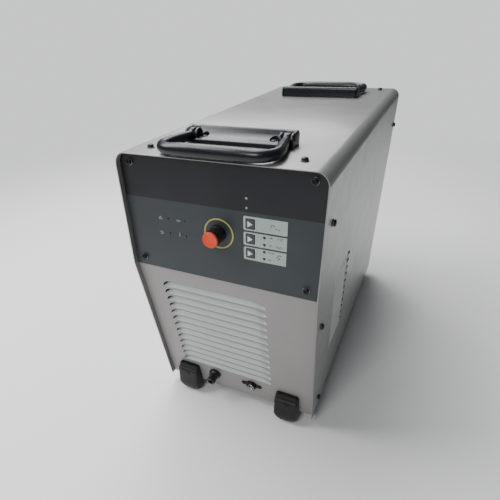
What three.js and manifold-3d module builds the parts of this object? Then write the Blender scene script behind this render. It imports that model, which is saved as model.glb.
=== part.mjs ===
// Inverter plasma cutting power source in a sheet-metal case, as an assembly of separate pieces.
// Millimetres, +Z up, front facing -Y, +X to the right of a person facing the front.
import * as THREE from "three";
import { mergeVertices } from "three/addons/utils/BufferGeometryUtils.js";
import Module from "manifold-3d";

// ---------------------------------------------------------------- driving dimensions
const HALF_W = 150; // half of the case width
const CASE_H = 469; // lower edge of the cover to the roof
const CASE_D = 653; // front edge to rear edge of the cover
const ROOF_R = 17.5; // roof to side bend radius
const SHEET = 1.5; // sheet thickness
const GAP = 0.3; // clearance between touching pieces
const BEND_Z = 294; // height of the bend in the front edge
const FOOT_IN = 52; // how far the front edge runs back below the bend
const RECESS = 9; // front panel behind the cover's front edge
const FASCIA_Y = 8; // fascia front face behind the front edge
const FASCIA_T = 2;
const FASCIA_Z0 = 291; // fascia lower edge
const FOOT_DROP = 20; // feet below the cover's lower edge
const REAR_Y = 645; // rear panel outer face
const FLANGE = 43; // depth of the panels' mounting flanges

const UPRIGHT_S = 271; // bolt through the front feet's uprights, down the slope
const UPRIGHT_Z = 28;

// handles
const BAIL_R = 8.5;
const ARM_R = 7;
const ARM_X = 79.5; // arm axis at the grip
const EYE_X = 71; // arm axis at the pivot
const GRIP_H = 9.6; // bail axis above the roof
const HANDLE_PIVOT = 84; // grip axis to pivot axis
const FRONT_GRIP_Y = 2;
const REAR_GRIP_Y = 603;
const BASE_HALF = 65; // middle block
const LUG_IN = 76.4; // outer pivot lugs
const LUG_OUT = 81;
const BASE_NEAR = 13.5; // base, from the pivot towards the grip
const BASE_FAR = 20; // and away from it
const BASE_HEIGHT = 19.5;

// controls
const KNOB_X = 1.5;
const KNOB_Z = 368;
const KNOB_OUT = 25;
const KEY_X = 50;
const KEYS_Z = [389.5, 368, 346.5];
const KEY_W = 13;
const KEY_H = 14.5;
const LEDS_RIGHT = [[70, 373], [70, 362.5], [70, 352], [70, 341.5]];
const LEDS_LEFT = [[-79, 377], [-51.5, 377], [-79, 354], [-51.5, 354]];
const LEDS_TOP = [[45, 424], [45, 411]];

// louvres: a D-shaped slot over a blade that leans inwards from its straight lower edge
const LOUVRE_IN = 5; // top edge of a blade behind the sheet's face
const LOUVRE_END = 18; // length of the curved ends
const FRONT_LOUVRES = 13;
const FRONT_PITCH = 16.25;
const FRONT_LOUVRE_H = 13.3;
const FRONT_LOUVRE_X = [-112, 71];
const FRONT_LOUVRE_S = 34.2; // top of the first slot, down the slope from the bend
const SIDE_LOUVRES = 11;
const SIDE_PITCH = 14.6;
const SIDE_LOUVRE_H = 11.8;
const SIDE_LOUVRE_Y = [101, 226]; // the front ends follow the slope
const SIDE_LOUVRE_Z = 269;

// rear
const FAN_Z = 216;
const FAN_R = 80;
const BREAKER_X = -83;
const BREAKER_Z = 392;

// ---------------------------------------------------------------- helpers
const wasm = await Module();
wasm.setup();

const V = (x, y, z) => new THREE.Vector3(x, y, z);

function solid(geometry) {
  const flat = geometry.index ? geometry.toNonIndexed() : geometry;
  const bare = new THREE.BufferGeometry().setAttribute(
    "position",
    flat.getAttribute("position"),
  );
  const merged = mergeVertices(bare, 1e-4);
  return new wasm.Manifold(
    new wasm.Mesh({
      numProp: 3,
      vertProperties: new Float32Array(merged.attributes.position.array),
      triVerts: new Uint32Array(merged.index.array),
    }),
  );
}

function geometryOf(body) {
  const m = body.getMesh();
  const xyz = new Float32Array(m.numVert * 3);
  for (let i = 0; i < m.numVert; i++)
    for (let k = 0; k < 3; k++) xyz[3 * i + k] = m.vertProperties[i * m.numProp + k];
  const g = new THREE.BufferGeometry()
    .setAttribute("position", new THREE.BufferAttribute(xyz, 3))
    .setIndex(new THREE.BufferAttribute(new Uint32Array(m.triVerts), 1));
  g.computeVertexNormals();
  return g;
}

const boxG = (x0, x1, y0, y1, z0, z1) =>
  new THREE.BoxGeometry(x1 - x0, y1 - y0, z1 - z0).translate((x0 + x1) / 2, (y0 + y1) / 2, (z0 + z1) / 2);
const box = (...a) => solid(boxG(...a));

const UP = { x: V(1, 0, 0), y: V(0, 1, 0), z: V(0, 0, 1) };

// cylinder (or cone) from point a to point b
function rod(a, b, r0, r1 = r0, seg = 16) {
  const d = b.clone().sub(a);
  const g = new THREE.CylinderGeometry(r1, r0, d.length(), seg);
  g.applyQuaternion(new THREE.Quaternion().setFromUnitVectors(UP.y, d.clone().normalize()));
  g.translate((a.x + b.x) / 2, (a.y + b.y) / 2, (a.z + b.z) / 2);
  return solid(g);
}

// turned piece: profile of [radius, along] from point p along direction d
function turned(p, d, profile, seg = 20) {
  const g = new THREE.LatheGeometry(profile.map(([r, l]) => new THREE.Vector2(r, l)), seg);
  g.applyQuaternion(new THREE.Quaternion().setFromUnitVectors(UP.y, d.clone().normalize()));
  g.translate(p.x, p.y, p.z);
  let s = solid(g);
  return s;
}

function prism(points, depth, basis, origin, holes = []) {
  const shape = new THREE.Shape(points.map(([a, b]) => new THREE.Vector2(a, b)));
  for (const h of holes) shape.holes.push(new THREE.Path(h.map(([a, b]) => new THREE.Vector2(a, b))));
  const g = new THREE.ExtrudeGeometry(shape, { depth, bevelEnabled: false, steps: 1 });
  g.applyMatrix4(new THREE.Matrix4().makeBasis(...basis));
  g.translate(origin.x, origin.y, origin.z);
  return solid(g);
}
// section in (y, z), from x0 to x1
const alongX = (pts, x0, x1, holes) => prism(pts, x1 - x0, [UP.y, UP.z, UP.x], V(x0, 0, 0), holes);
// section in (x, z), from y0 to y1
const alongY = (pts, y0, y1, holes) =>
  prism(pts, y1 - y0, [UP.x, UP.z, V(0, -1, 0)], V(0, y1, 0), holes);
// section in (x, y), from z0 to z1
const alongZ = (pts, z0, z1, holes) => prism(pts, z1 - z0, [UP.x, UP.y, UP.z], V(0, 0, z0), holes);

const union = (list) => list.reduce((a, b) => a.add(b));
const cut = (a, list) => list.reduce((s, b) => s.subtract(b), a);

function arc(cx, cy, r, a0, a1, n) {
  const out = [];
  for (let i = 0; i <= n; i++) {
    const t = THREE.MathUtils.degToRad(a0 + ((a1 - a0) * i) / n);
    out.push([cx + r * Math.cos(t), cy + r * Math.sin(t)]);
  }
  return out;
}
const circle = (cx, cy, r, n) => arc(cx, cy, r, 0, 360 - 360 / n, n - 1);

// case outline in (x, z), open at the bottom, offset inwards by o
function outline(o, z0, seg = 4) {
  const w = HALF_W - o, h = CASE_H - o, r = ROOF_R - o;
  return [
    [-w, z0],
    [w, z0],
    ...arc(w - r, h - r, r, 0, 90, seg),
    ...arc(-w + r, h - r, r, 90, 180, seg),
  ];
}

// front slope
const SLOPE = Math.atan2(FOOT_IN, BEND_Z);
const cosS = Math.cos(SLOPE), sinS = Math.sin(SLOPE);
// y on the plane lying o behind the front edge's lower part, at height z
const slopeY = (o, z) => (BEND_Z - z) * Math.tan(SLOPE) + o / cosS;
// point on the front panel's lower face: x, distance s down from the bend, distance out
const S0 = V(0, RECESS * cosS, BEND_Z + RECESS * sinS);
const OUT = V(0, -cosS, -sinS);
const DOWN = V(0, sinS, -cosS);
const onSlope = (x, s, out = 0) => V(x, 0, 0).add(S0).addScaledVector(DOWN, s).addScaledVector(OUT, out);

const PANEL_Y = FASCIA_Y + FASCIA_T + GAP; // front panel face behind the fascia
const panelBendZ = BEND_Z - (PANEL_Y - RECESS / cosS) / Math.tan(SLOPE);

// ---------------------------------------------------------------- materials
const mat = (color, roughness, metalness = 0) => new THREE.MeshStandardMaterial({ color, roughness, metalness });
const PAINT = mat(0xb9bcbb, 0.42, 0.1);
const PANEL_PAINT = mat(0xa5a3a2, 0.45, 0.1);
const ZINC = mat(0x9a9c9f, 0.4, 0.9);
const FASCIA = mat(0x33383d, 0.4);
const HANDLE = mat(0x2b3036, 0.25);
const RUBBER = mat(0x17171a, 0.75);
const BLACK = mat(0x141417, 0.5);
const ORANGE = mat(0xf06a35, 0.4);
const KEY = mat(0x4a5150, 0.5);
const LENS = mat(0x1c2420, 0.2);
const CHROME = mat(0xd8dadc, 0.12, 1);
const SCREW = mat(0x1b1b1d, 0.45, 0.7);
const PCB = mat(0x1d5a38, 0.5);
const ALU = mat(0xb4b7ba, 0.4, 0.9);
const COPPER = mat(0xa8622e, 0.4, 0.6);
const BRASS = mat(0xb08d4a, 0.3, 0.9);
const SLEEVE = mat(0x24344e, 0.4);

const unit = new THREE.Group();
function node(name, body, material, parent = unit) {
  const mesh = new THREE.Mesh(geometryOf(body), material);
  mesh.name = name;
  parent.add(mesh);
  return mesh;
}
// a group whose own origin is at point p, for a piece modelled about its own axis
function at(p) {
  const g = new THREE.Group();
  g.position.copy(p);
  unit.add(g);
  return g;
}

// ---------------------------------------------------------------- louvres
// outline in (along, up from the lower edge), with its lower edge raised by v0
function louvreOutline(l, h, v0) {
  const e = LOUVRE_END, right = [], left = [];
  for (const t of [0, 18, 36, 54, 72, 90]) {
    const c = Math.cos(THREE.MathUtils.degToRad(t)), v = h * Math.sin(THREE.MathUtils.degToRad(t));
    right.push([l - e + e * c, v]);
    left.unshift([e - e * c, v]);
  }
  const clip = (list) => list.map(([u, v]) => [u, Math.max(v, v0)]);
  return [...clip(right), ...clip(left)];
}
// outline of a blade, whose ends are drawn in below the ends of its slot
function bladeOutline(l, h) {
  const ends = [[0.4, 0.5], [3, 2.4], [6, 4.5], [10, 7.1], [15, 10.3], [21, h]];
  return [[0, 0], [l, 0], ...ends.map(([u, v]) => [l - u, v]), ...ends.reverse().map(([u, v]) => [u, v])];
}
// slot and blade of a louvre: p is the left end of its lower edge, u runs along it, n is outwards and up is up the sheet
function louvre(p, u, n, up, l, h) {
  const slot = prism(louvreOutline(l, h, 0.8), 6, [u, up, new THREE.Vector3().crossVectors(u, up)], p.clone().addScaledVector(new THREE.Vector3().crossVectors(u, up), -3));
  const lean = Math.asin(LOUVRE_IN / h);
  const along = up.clone().multiplyScalar(Math.cos(lean)).addScaledVector(n, -Math.sin(lean));
  const w = new THREE.Vector3().crossVectors(u, along);
  const inwards = w.dot(n) < 0;
  const blade = prism(bladeOutline(l, h), 1.3, [u, along, w], p.clone().addScaledVector(w, inwards ? 0 : -1.3));
  return [blade, slot];
}

// ---------------------------------------------------------------- fasteners
// pan head screw with a flat and a spring washer: head above point p along n, shank the other way
const SHANK_R = 2;
const HOLE_R = 2.5;
function panScrew(name, p, n, r = 4.5, h = 5, len = 8) {
  const g = at(p);
  node(name, turned(V(0, 0, 0), n, [[0, -len], [SHANK_R, -len], [SHANK_R, GAP], [5.3, GAP], [5.3, 1.3], [4.1, 1.3], [4.1, 2.3], [r, 2.3], [r * 0.94, 3.8], [r * 0.6, h], [0, h]], 10), SCREW, g);
}
const hole = (p, n, r = HOLE_R, len = 8, seg = 8) =>
  rod(p.clone().addScaledVector(n, 3), p.clone().addScaledVector(n, -len), r, r, seg);

const coverHoles = [], frontHoles = [], rearHoles = [], trayHoles = [];
const X = UP.x, XN = V(-1, 0, 0), Z = UP.z;
const screws = [
  ["cover_screw_roof_front_left", V(-110, 33, CASE_H), Z, frontHoles],
  ["cover_screw_roof_front_right", V(110, 33, CASE_H), Z, frontHoles],
  ["cover_screw_roof_rear_left", V(-110, 622, CASE_H), Z, rearHoles],
  ["cover_screw_roof_rear_right", V(110, 622, CASE_H), Z, rearHoles],
  ["cover_screw_right_upper_front", V(HALF_W, 37, 395), X, frontHoles],
  ["cover_screw_right_middle_front", V(HALF_W, 37, 229), X, frontHoles],
  ["cover_screw_right_lower_front", V(HALF_W, 82, 31), X, trayHoles],
  ["cover_screw_right_rear", V(HALF_W, 632, 395), X, rearHoles],
  ["cover_screw_left_upper_front", V(-HALF_W, 37, 395), XN, frontHoles],
  ["cover_screw_left_middle_front", V(-HALF_W, 37, 229), XN, frontHoles],
  ["cover_screw_left_lower_front", V(-HALF_W, 82, 31), XN, trayHoles],
  ["cover_screw_left_rear", V(-HALF_W, 632, 395), XN, rearHoles],
];
for (const [name, p, n, list] of screws) {
  panScrew(name, p, n);
  coverHoles.push(hole(p, n));
  list.push(hole(p, n));
}

// ---------------------------------------------------------------- cover
{
  const side = [
    [0, BEND_Z],
    [FOOT_IN, 0],
    [CASE_D, 0],
    [CASE_D, CASE_H + 2],
    [0, CASE_H + 2],
  ];
  let body = alongY(outline(0, -4), -1, CASE_D + 1)
    .subtract(alongY(outline(SHEET, -5), -2, CASE_D + 2))
    .intersect(alongX(side, -HALF_W - 5, HALF_W + 5));
  const blades = [], slots = [];
  for (let i = 0; i < SIDE_LOUVRES; i++) {
    const top = SIDE_LOUVRE_Z - i * SIDE_PITCH, z = top - SIDE_LOUVRE_H;
    const y0 = SIDE_LOUVRE_Y[0] + (SIDE_LOUVRE_Z - top) * Math.tan(SLOPE), l = SIDE_LOUVRE_Y[1] - y0;
    for (const n of [X, XN]) {
      const [a, b] = louvre(V(n.x * HALF_W, y0, z), UP.y, n, Z, l, SIDE_LOUVRE_H);
      blades.push(a);
      slots.push(b);
    }
  }
  body = cut(union([cut(body, slots), ...blades]), coverHoles);
  // screw holes of the two handle bases
  for (const y of [FRONT_GRIP_Y + HANDLE_PIVOT, REAR_GRIP_Y - HANDLE_PIVOT])
    for (const x of [-52, 52]) body = body.subtract(rod(V(x, y, CASE_H - 6), V(x, y, CASE_H + 3), 2.9, 2.9, 10));
  node("top_side_cover", body, PAINT);
}

// ---------------------------------------------------------------- base tray
{
  const w = HALF_W - SHEET - GAP, z0 = 3.3;
  let body = box(-w, w, 66, REAR_Y - 4, z0, z0 + 2)
    .add(box(-w, -w + SHEET, 66, REAR_Y - 4, z0, 43))
    .add(box(w - SHEET, w, 66, REAR_Y - 4, z0, 43))
    .add(box(-w, w, 66, 66 + SHEET, z0, 18))
    .add(box(-w, w, REAR_Y - 4 - SHEET, REAR_Y - 4, z0, 18));
  node("base_tray", cut(body, trayHoles), ZINC);
}

// ---------------------------------------------------------------- front panel
const TORCH = { x: -46, s: 261 };
const SOCKET = { x: 31, s: 261 };
{
  const w = HALF_W - SHEET - GAP;
  const face = [
    [PANEL_Y, CASE_H],
    [PANEL_Y, panelBendZ],
    [slopeY(RECESS, 1.5), 1.5],
    [slopeY(RECESS + SHEET, 1.5), 1.5],
    [PANEL_Y + SHEET, panelBendZ - 0.1],
    [PANEL_Y + SHEET, CASE_H],
  ];
  const strip = [
    [PANEL_Y, CASE_H],
    [PANEL_Y, panelBendZ],
    [slopeY(RECESS, 46), 46],
    [slopeY(RECESS, 46) + FLANGE, 46],
    [PANEL_Y + FLANGE, panelBendZ],
    [PANEL_Y + FLANGE, CASE_H],
  ];
  const inner = alongY(outline(SHEET + GAP, 0), 0, 200);
  const flange = alongY(outline(SHEET + GAP, 0), 0, 200)
    .subtract(alongY(outline(2 * SHEET + GAP, -2), -1, 201))
    .intersect(alongX(strip, -w, w));
  let body = alongX(face, -w, w).intersect(inner).add(flange);
  const blades = [], slots = [], up = DOWN.clone().multiplyScalar(-1);
  for (let i = 0; i < FRONT_LOUVRES; i++) {
    const l = FRONT_LOUVRE_X[1] - FRONT_LOUVRE_X[0];
    const [a, b] = louvre(onSlope(FRONT_LOUVRE_X[0], FRONT_LOUVRE_S + FRONT_LOUVRE_H + i * FRONT_PITCH), X, OUT, up, l, FRONT_LOUVRE_H);
    blades.push(a);
    slots.push(b);
  }
  body = union([cut(body, slots), ...blades]);
  // control board posts
  for (const x of [-98, 104])
    for (const z of [322, 438]) body = body.add(rod(V(x, PANEL_Y + 0.5, z), V(x, 25.6, z), 3, 3, 8));
  const window = box(-92, 98, 0, 20, 329, 432);
  const torchHole = rod(onSlope(TORCH.x, TORCH.s, 5), onSlope(TORCH.x, TORCH.s, -6), 8.4, 8.4, 20);
  const socketHole = rod(onSlope(SOCKET.x, SOCKET.s, 5), onSlope(SOCKET.x, SOCKET.s, -6), 8.4, 8.4, 20);
  const small = [-1, 1].map((k) => hole(onSlope(SOCKET.x + 16 * k, SOCKET.s), OUT, 1.9, 6));
  const corner = [];
  for (const [x, z] of [[-131, 455], [131, 455], [-131, 306], [131, 306]])
    corner.push(hole(V(x, PANEL_Y, z), V(0, -1, 0)));
  const bolts = [-102, 102].map((x) => hole(onSlope(x, UPRIGHT_S), OUT, 2.6, 6));
  node("front_panel", cut(body, [window, torchHole, socketHole, ...small, ...corner, ...bolts, ...frontHoles]), PANEL_PAINT);
}

// ---------------------------------------------------------------- control fascia
const FACE = V(0, -1, 0);
{
  const o = SHEET + GAP + 0.4;
  const plate = alongY(outline(o, FASCIA_Z0), FASCIA_Y, FASCIA_Y + FASCIA_T);
  const cuts = [rod(V(KNOB_X, 0, KNOB_Z), V(KNOB_X, 20, KNOB_Z), 4, 4, 16)];
  for (const z of KEYS_Z)
    cuts.push(box(KEY_X - KEY_W / 2 - GAP, KEY_X + KEY_W / 2 + GAP, 0, 20, z - KEY_H / 2 - GAP, z + KEY_H / 2 + GAP));
  for (const [x, z] of [...LEDS_RIGHT, ...LEDS_LEFT, ...LEDS_TOP]) cuts.push(rod(V(x, 0, z), V(x, 20, z), 2.2, 2.2, 6));
  for (const [x, z] of [[-131, 455], [131, 455], [-131, 306], [131, 306]]) cuts.push(hole(V(x, FASCIA_Y, z), FACE));
  node("control_fascia", cut(plate, cuts), FASCIA);
}
panScrew("fascia_screw_upper_left", V(-131, FASCIA_Y, 455), FACE);
panScrew("fascia_screw_upper_right", V(131, FASCIA_Y, 455), FACE);
panScrew("fascia_screw_lower_left", V(-131, FASCIA_Y, 306), FACE);
panScrew("fascia_screw_lower_right", V(131, FASCIA_Y, 306), FACE);

// ---------------------------------------------------------------- current knob
{
  const g = at(V(KNOB_X, FASCIA_Y, KNOB_Z));
  // skirted body with a bore for the shaft and a rim round the cap
  let body = turned(V(0, 0, 0), FACE, [[0, 0.5], [12.5, 0.5], [12.5, 4.5], [11.9, 6], [11.6, 21], [11.3, 22], [0, 22]], 20);
  body = body
    .subtract(rod(V(0, 2, 0), V(0, -16, 0), 3.3, 3.3, 12))
    .subtract(rod(V(0, -20, 0), V(0, -30, 0), 9.9, 9.9, 20));
  node("knob_body", body, BLACK, g);
  const cap = turned(V(0, 0, 0), FACE, [[0, 20.3], [9.5, 20.3], [9.5, 22.3], [11.3, 22.3], [11.3, 23.6], [10.7, KNOB_OUT - 0.5], [9, KNOB_OUT], [0, KNOB_OUT]], 20);
  node("knob_cap", cap, ORANGE, g);
  const shaft = rod(V(0, 10.4, 0), V(0, -15.5, 0), 2.8, 2.8, 12);
  node("potentiometer_shaft", shaft, ZINC, g);
  const pot = turned(V(0, 0, 0), V(0, 1, 0), [[3.2, 2.3], [6.5, 2.3], [6.5, 3.6], [8.5, 3.6], [8.5, 13], [0, 13], [0, 10.8], [3.2, 10.8], [3.2, 2.3]], 12);
  node("potentiometer", pot, ZINC, g);
}

// ---------------------------------------------------------------- push keys and lamps
KEYS_Z.forEach((z, i) => {
  const g = at(V(KEY_X, FASCIA_Y, z));
  const cap = box(-KEY_W / 2, KEY_W / 2, -1.4, 2.4, -KEY_H / 2, KEY_H / 2);
  const foot = box(-KEY_W / 2 - 1, KEY_W / 2 + 1, 2.4 + 0.9, 4.4, -KEY_H / 2 - 1, KEY_H / 2 + 1);
  const stem = rod(V(0, 2, 0), V(0, 16, 0), 2.5, 2.5, 10);
  node("key_" + (i + 1), union([cap, box(-KEY_W / 2, KEY_W / 2, 2, 3.6, -KEY_H / 2, KEY_H / 2), foot, stem]), KEY, g);
});
function lampBlock(name, list, ...bodies) {
  let body = union(bodies);
  for (const [x, z] of list)
    body = body.add(turned(V(x, FASCIA_Y + 5, z), FACE, [[0, 0], [1.6, 0], [1.6, 5.4], [0, 6.1]], 6));
  node(name, body, LENS);
}
const LAMP_Y = [FASCIA_Y + 4.2, FASCIA_Y + 17];
lampBlock("lamp_block_left", LEDS_LEFT, box(-84, -46, ...LAMP_Y, 350, 381));
lampBlock("lamp_block_right", [...LEDS_RIGHT, ...LEDS_TOP], box(66, 74, ...LAMP_Y, 337, 428), box(41, 74, ...LAMP_Y, 407, 428));
{
  const board = box(-106, 112, 26, 27.6, 316, 444);
  const parts = [
    box(-96, -66, 27.2, 41, 330, 380),
    box(-50, -30, 27.2, 33, 400, 430),
    box(40, 90, 27.2, 45, 395, 425),
    rod(V(-10, 27, 420), V(-10, 48, 420), 8, 8, 12),
  ];
  node("control_board", union([board, ...parts]), PCB);
}

// ---------------------------------------------------------------- connectors on the slope
{
  const p = onSlope(TORCH.x, TORCH.s);
  const body = turned(p, OUT, [[4.6, -16], [8, -16], [8, GAP], [11.6, GAP], [11.6, 5.5], [10.6, 8], [8.4, 8], [8.4, 20.5], [7.4, 23], [4.6, 23], [4.6, -16]], 16);
  node("torch_outlet", body, BLACK);
}
{
  const p = onSlope(SOCKET.x, SOCKET.s);
  let shell = turned(p, OUT, [[6.6, -12], [8, -12], [8, GAP], [9.6, GAP], [9.6, 6], [8.9, 6.8], [7.4, 6.8], [7.4, -2], [6.6, -2], [6.6, -12]], 16);
  // flange plate with its two screw ears
  const section = [...arc(16, 0, 5.2, -70, 70, 4), ...arc(0, 0, 11.2, 40, 140, 4), ...arc(-16, 0, 5.2, 110, 250, 4), ...arc(0, 0, 11.2, 220, 320, 4)];
  const up = DOWN.clone().multiplyScalar(-1);
  const plate = prism(section, 1.4, [X, up, OUT], p.clone().addScaledVector(OUT, GAP), [circle(0, 0, 7.8, 16), circle(16, 0, 1.9, 8), circle(-16, 0, 1.9, 8)]);
  shell = shell.add(plate);
  node("socket_shell", shell, CHROME);
  let insert = turned(p, OUT, [[0, -14], [6.2, -14], [6.2, -0.5], [0, -0.5]], 14);
  const pins = [];
  for (let i = 0; i < 6; i++) {
    const a = (i * Math.PI) / 3;
    const q = p.clone().addScaledVector(X, 3.6 * Math.cos(a)).addScaledVector(DOWN, 3.6 * Math.sin(a));
    pins.push(rod(q.clone().addScaledVector(OUT, -2), q.clone().addScaledVector(OUT, 3.2), 0.7, 0.7, 6));
  }
  node("socket_insert", union([insert, ...pins]), BLACK);
}
// ---------------------------------------------------------------- handles
function handle(prefix, gripY, dir) {
  const pivotY = gripY + dir * HANDLE_PIVOT;
  const pivot = V(0, pivotY, CASE_H + GRIP_H);
  // base block, with dir pointing from the grip to the pivot
  {
    const g = at(V(0, pivotY, CASE_H));
    const h = BASE_HEIGHT;
    const way = (list) => (dir > 0 ? list : list.map(([a, b]) => [-a, b]).reverse());
    const ridge = [[BASE_FAR, GAP], [BASE_FAR, h - 5], [BASE_FAR - 1.6, h - 1.4], [BASE_FAR - 5, h], [BASE_FAR - 7.6, h - 1.4]];
    const section = way([[-BASE_NEAR, GAP], ...ridge, [9.4, h - 5.2], [4.5, 10.8], [-3, 8], [-11, 6.4], [-BASE_NEAR, 4.8]]);
    let body = alongX(section, -BASE_HALF, BASE_HALF);
    // ends rise to carry the pivots
    const lug = [...arc(0, GRIP_H, 9, -10, 190, 8), [-9, GAP], [9, GAP]];
    for (const k of [-1, 1]) {
      const a = k > 0 ? BASE_HALF - 5 : -BASE_HALF, b = k > 0 ? BASE_HALF : -BASE_HALF + 5;
      body = body.add(alongX(lug, a, b));
    }
    for (const x of [-52, 52])
      body = body.subtract(rod(V(x, 0, 6), V(x, 0, 30), 6.4, 6.4, 12)).subtract(rod(V(x, 0, -2), V(x, 0, 8), 2.6, 2.6, 8));
    // outer lugs, joined to the block by a web behind the eyes
    const back = way([[10.2, GAP], ...ridge, [10.2, h - 2]]);
    const web = way([[10.2, GAP], [BASE_FAR - 0.3, GAP], [BASE_FAR - 0.3, h - 5.2], [BASE_FAR - 1.9, h - 1.8], [BASE_FAR - 5.1, h - 0.4], [BASE_FAR - 7.3, h - 1.9], [10.2, h - 2.6]]);
    const outer = alongX(lug, 0, LUG_OUT - LUG_IN).add(alongX(back, 0, LUG_OUT - LUG_IN)).add(box(0, LUG_OUT - LUG_IN, Math.min(0, dir * 12), Math.max(0, dir * 12), GAP, h - 3.2));
    for (const k of [-1, 1]) {
      body = body.add(outer.translate([k > 0 ? LUG_IN : -LUG_OUT, 0, 0]));
      body = body.add(alongX(web, k > 0 ? BASE_HALF - 2 : -LUG_OUT + 2, k > 0 ? LUG_OUT - 2 : -BASE_HALF + 2));
    }
    // pivot studs
    for (const k of [-1, 1]) body = body.add(rod(V(k * (BASE_HALF - 4), 0, GRIP_H), V(k * (LUG_IN + 2), 0, GRIP_H), 2.9, 2.9, 10));
    node(prefix + "_handle_base", body, HANDLE, g);
    for (const [k, side] of [[-1, "left"], [1, "right"]]) {
      const s = turned(V(52 * k, 0, 6), Z, [[0, -11], [2.1, -11], [2.1, GAP], [4.6, GAP], [4.4, 2], [0, 3]], 10);
      node(prefix + "_handle_screw_" + side, s, SCREW, g);
    }
  }
  // bail, modelled about its pivot axis
  {
    const g = at(pivot);
    const L = -dir * HANDLE_PIVOT, r = 20, s = -dir;
    const path = new THREE.CurvePath();
    const quarter = (a, c, b) => new THREE.QuadraticBezierCurve3(a, c, b);
    path.add(new THREE.LineCurve3(V(-EYE_X, s * 2, 0), V(-ARM_X, L - s * r, 0)));
    path.add(quarter(V(-ARM_X, L - s * r, 0), V(-ARM_X, L - s * 2, 0), V(-ARM_X + r, L, 0)));
    path.add(new THREE.LineCurve3(V(-ARM_X + r, L, 0), V(ARM_X - r, L, 0)));
    path.add(quarter(V(ARM_X - r, L, 0), V(ARM_X, L - s * 2, 0), V(ARM_X, L - s * r, 0)));
    path.add(new THREE.LineCurve3(V(ARM_X, L - s * r, 0), V(EYE_X, s * 2, 0)));
    const shape = new THREE.Shape(circle(0, 0, ARM_R, 8).map(([a, b]) => new THREE.Vector2(a, b)));
    const tube = solid(new THREE.ExtrudeGeometry(shape, { steps: 30, extrudePath: path, bevelEnabled: false }));
    const grip = turned(V(-62, L, 0), X, [[0, 0], [ARM_R - 0.6, 0], [BAIL_R, 8], [BAIL_R, 116], [ARM_R - 0.6, 124], [0, 124]], 10);
    let body = tube.add(grip);
    for (const k of [-1, 1]) {
      const a = k * EYE_X - 4.6;
      body = body.add(rod(V(a, 0, 0), V(a + 9.2, 0, 0), 9, 9, 14));
      // flats that run between the block and the outer lug
      body = body.subtract(rod(V(k * (LUG_IN - 0.5), 0, 0), V(k * 95, 0, 0), 13, 13, 20)).subtract(rod(V(k * 40, 0, 0), V(k * (BASE_HALF + 0.6), 0, 0), 13, 13, 20));
    }
    for (const k of [-1, 1]) body = body.subtract(rod(V(k * (BASE_HALF - 4), 0, 0), V(k * (EYE_X + 9), 0, 0), 3.4, 3.4, 10));
    node(prefix + "_handle_bail", body, HANDLE, g);
  }
}
handle("front", FRONT_GRIP_Y, 1);
handle("rear", REAR_GRIP_Y, -1);

// ---------------------------------------------------------------- feet
// moulded rubber corner foot: wraps the lower edge, with a bolt through its upright
const FOOT_HALF = 21.5;
function foot(name, x, front) {
  const g = at(V(x, 0, 0));
  const e = REAR_Y + GAP;
  const section = front
    ? [
        [slopeY(RECESS - GAP, 1.1), 1.1],
        [63.4, 1.1],
        [63.6, 2.9],
        [75, 2.9],
        [75, -8],
        [72, -15.5],
        [67, -FOOT_DROP],
        [48, -FOOT_DROP],
        [42.6, -16],
        [39.4, -9],
        [38, 0],
        [slopeY(RECESS, 10) - 20.5, 10],
        [slopeY(RECESS, 34) - 15, 34],
        [slopeY(RECESS, 44) - 11, 43.5],
        [slopeY(RECESS, 47) - 9, 46],
        [slopeY(RECESS - GAP, 47), 47],
      ]
    : [
        [e, 1.1],
        [e, 47],
        [650, 46],
        [653, 43.5],
        [657, 34],
        [659, 24],
        [659, 0],
        [657.6, -9],
        [654.4, -16],
        [649, -FOOT_DROP],
        [630, -FOOT_DROP],
        [625, -15.5],
        [622, -8],
        [622, 2.9],
        [641.2, 2.9],
        [641.4, 1.1],
      ];
  const area = THREE.ShapeUtils.area(section.map(([a, b]) => new THREE.Vector2(a, b)));
  if (area < 0) section.reverse();
  const w = FOOT_HALF;
  const frontView = [
    [-w, 42],
    [-w, 0],
    [-w + 1.5, -7],
    [-w + 5, -13],
    [-w + 9, -17.5],
    [-w + 12.5, -FOOT_DROP],
    [-w + 13, -FOOT_DROP - 1],
    [w - 13, -FOOT_DROP - 1],
    [w - 12.5, -FOOT_DROP],
    [w - 9, -17.5],
    [w - 5, -13],
    [w - 1.5, -7],
    [w, 0],
    [w, 42],
    [w - 4, 48],
    [-w + 4, 48],
  ];
  let body = alongX(section, -w, w).intersect(alongY(frontView, 20, 700));
  // counterbored hole of the bolt that goes into the panel
  const p = front ? onSlope(0, UPRIGHT_S) : V(0, REAR_Y, UPRIGHT_Z), n = front ? OUT : UP.y;
  const along = (k) => p.clone().addScaledVector(n, k);
  body = body.subtract(rod(along(5), along(30), 5, 5, 12)).subtract(rod(along(-3), along(10), 2.9, 2.9, 10));
  node(name, body, RUBBER, g);
}
foot("foot_front_left", -102, true);
foot("foot_front_right", 102, true);
foot("foot_rear_left", -102, false);
foot("foot_rear_right", 102, false);

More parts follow.
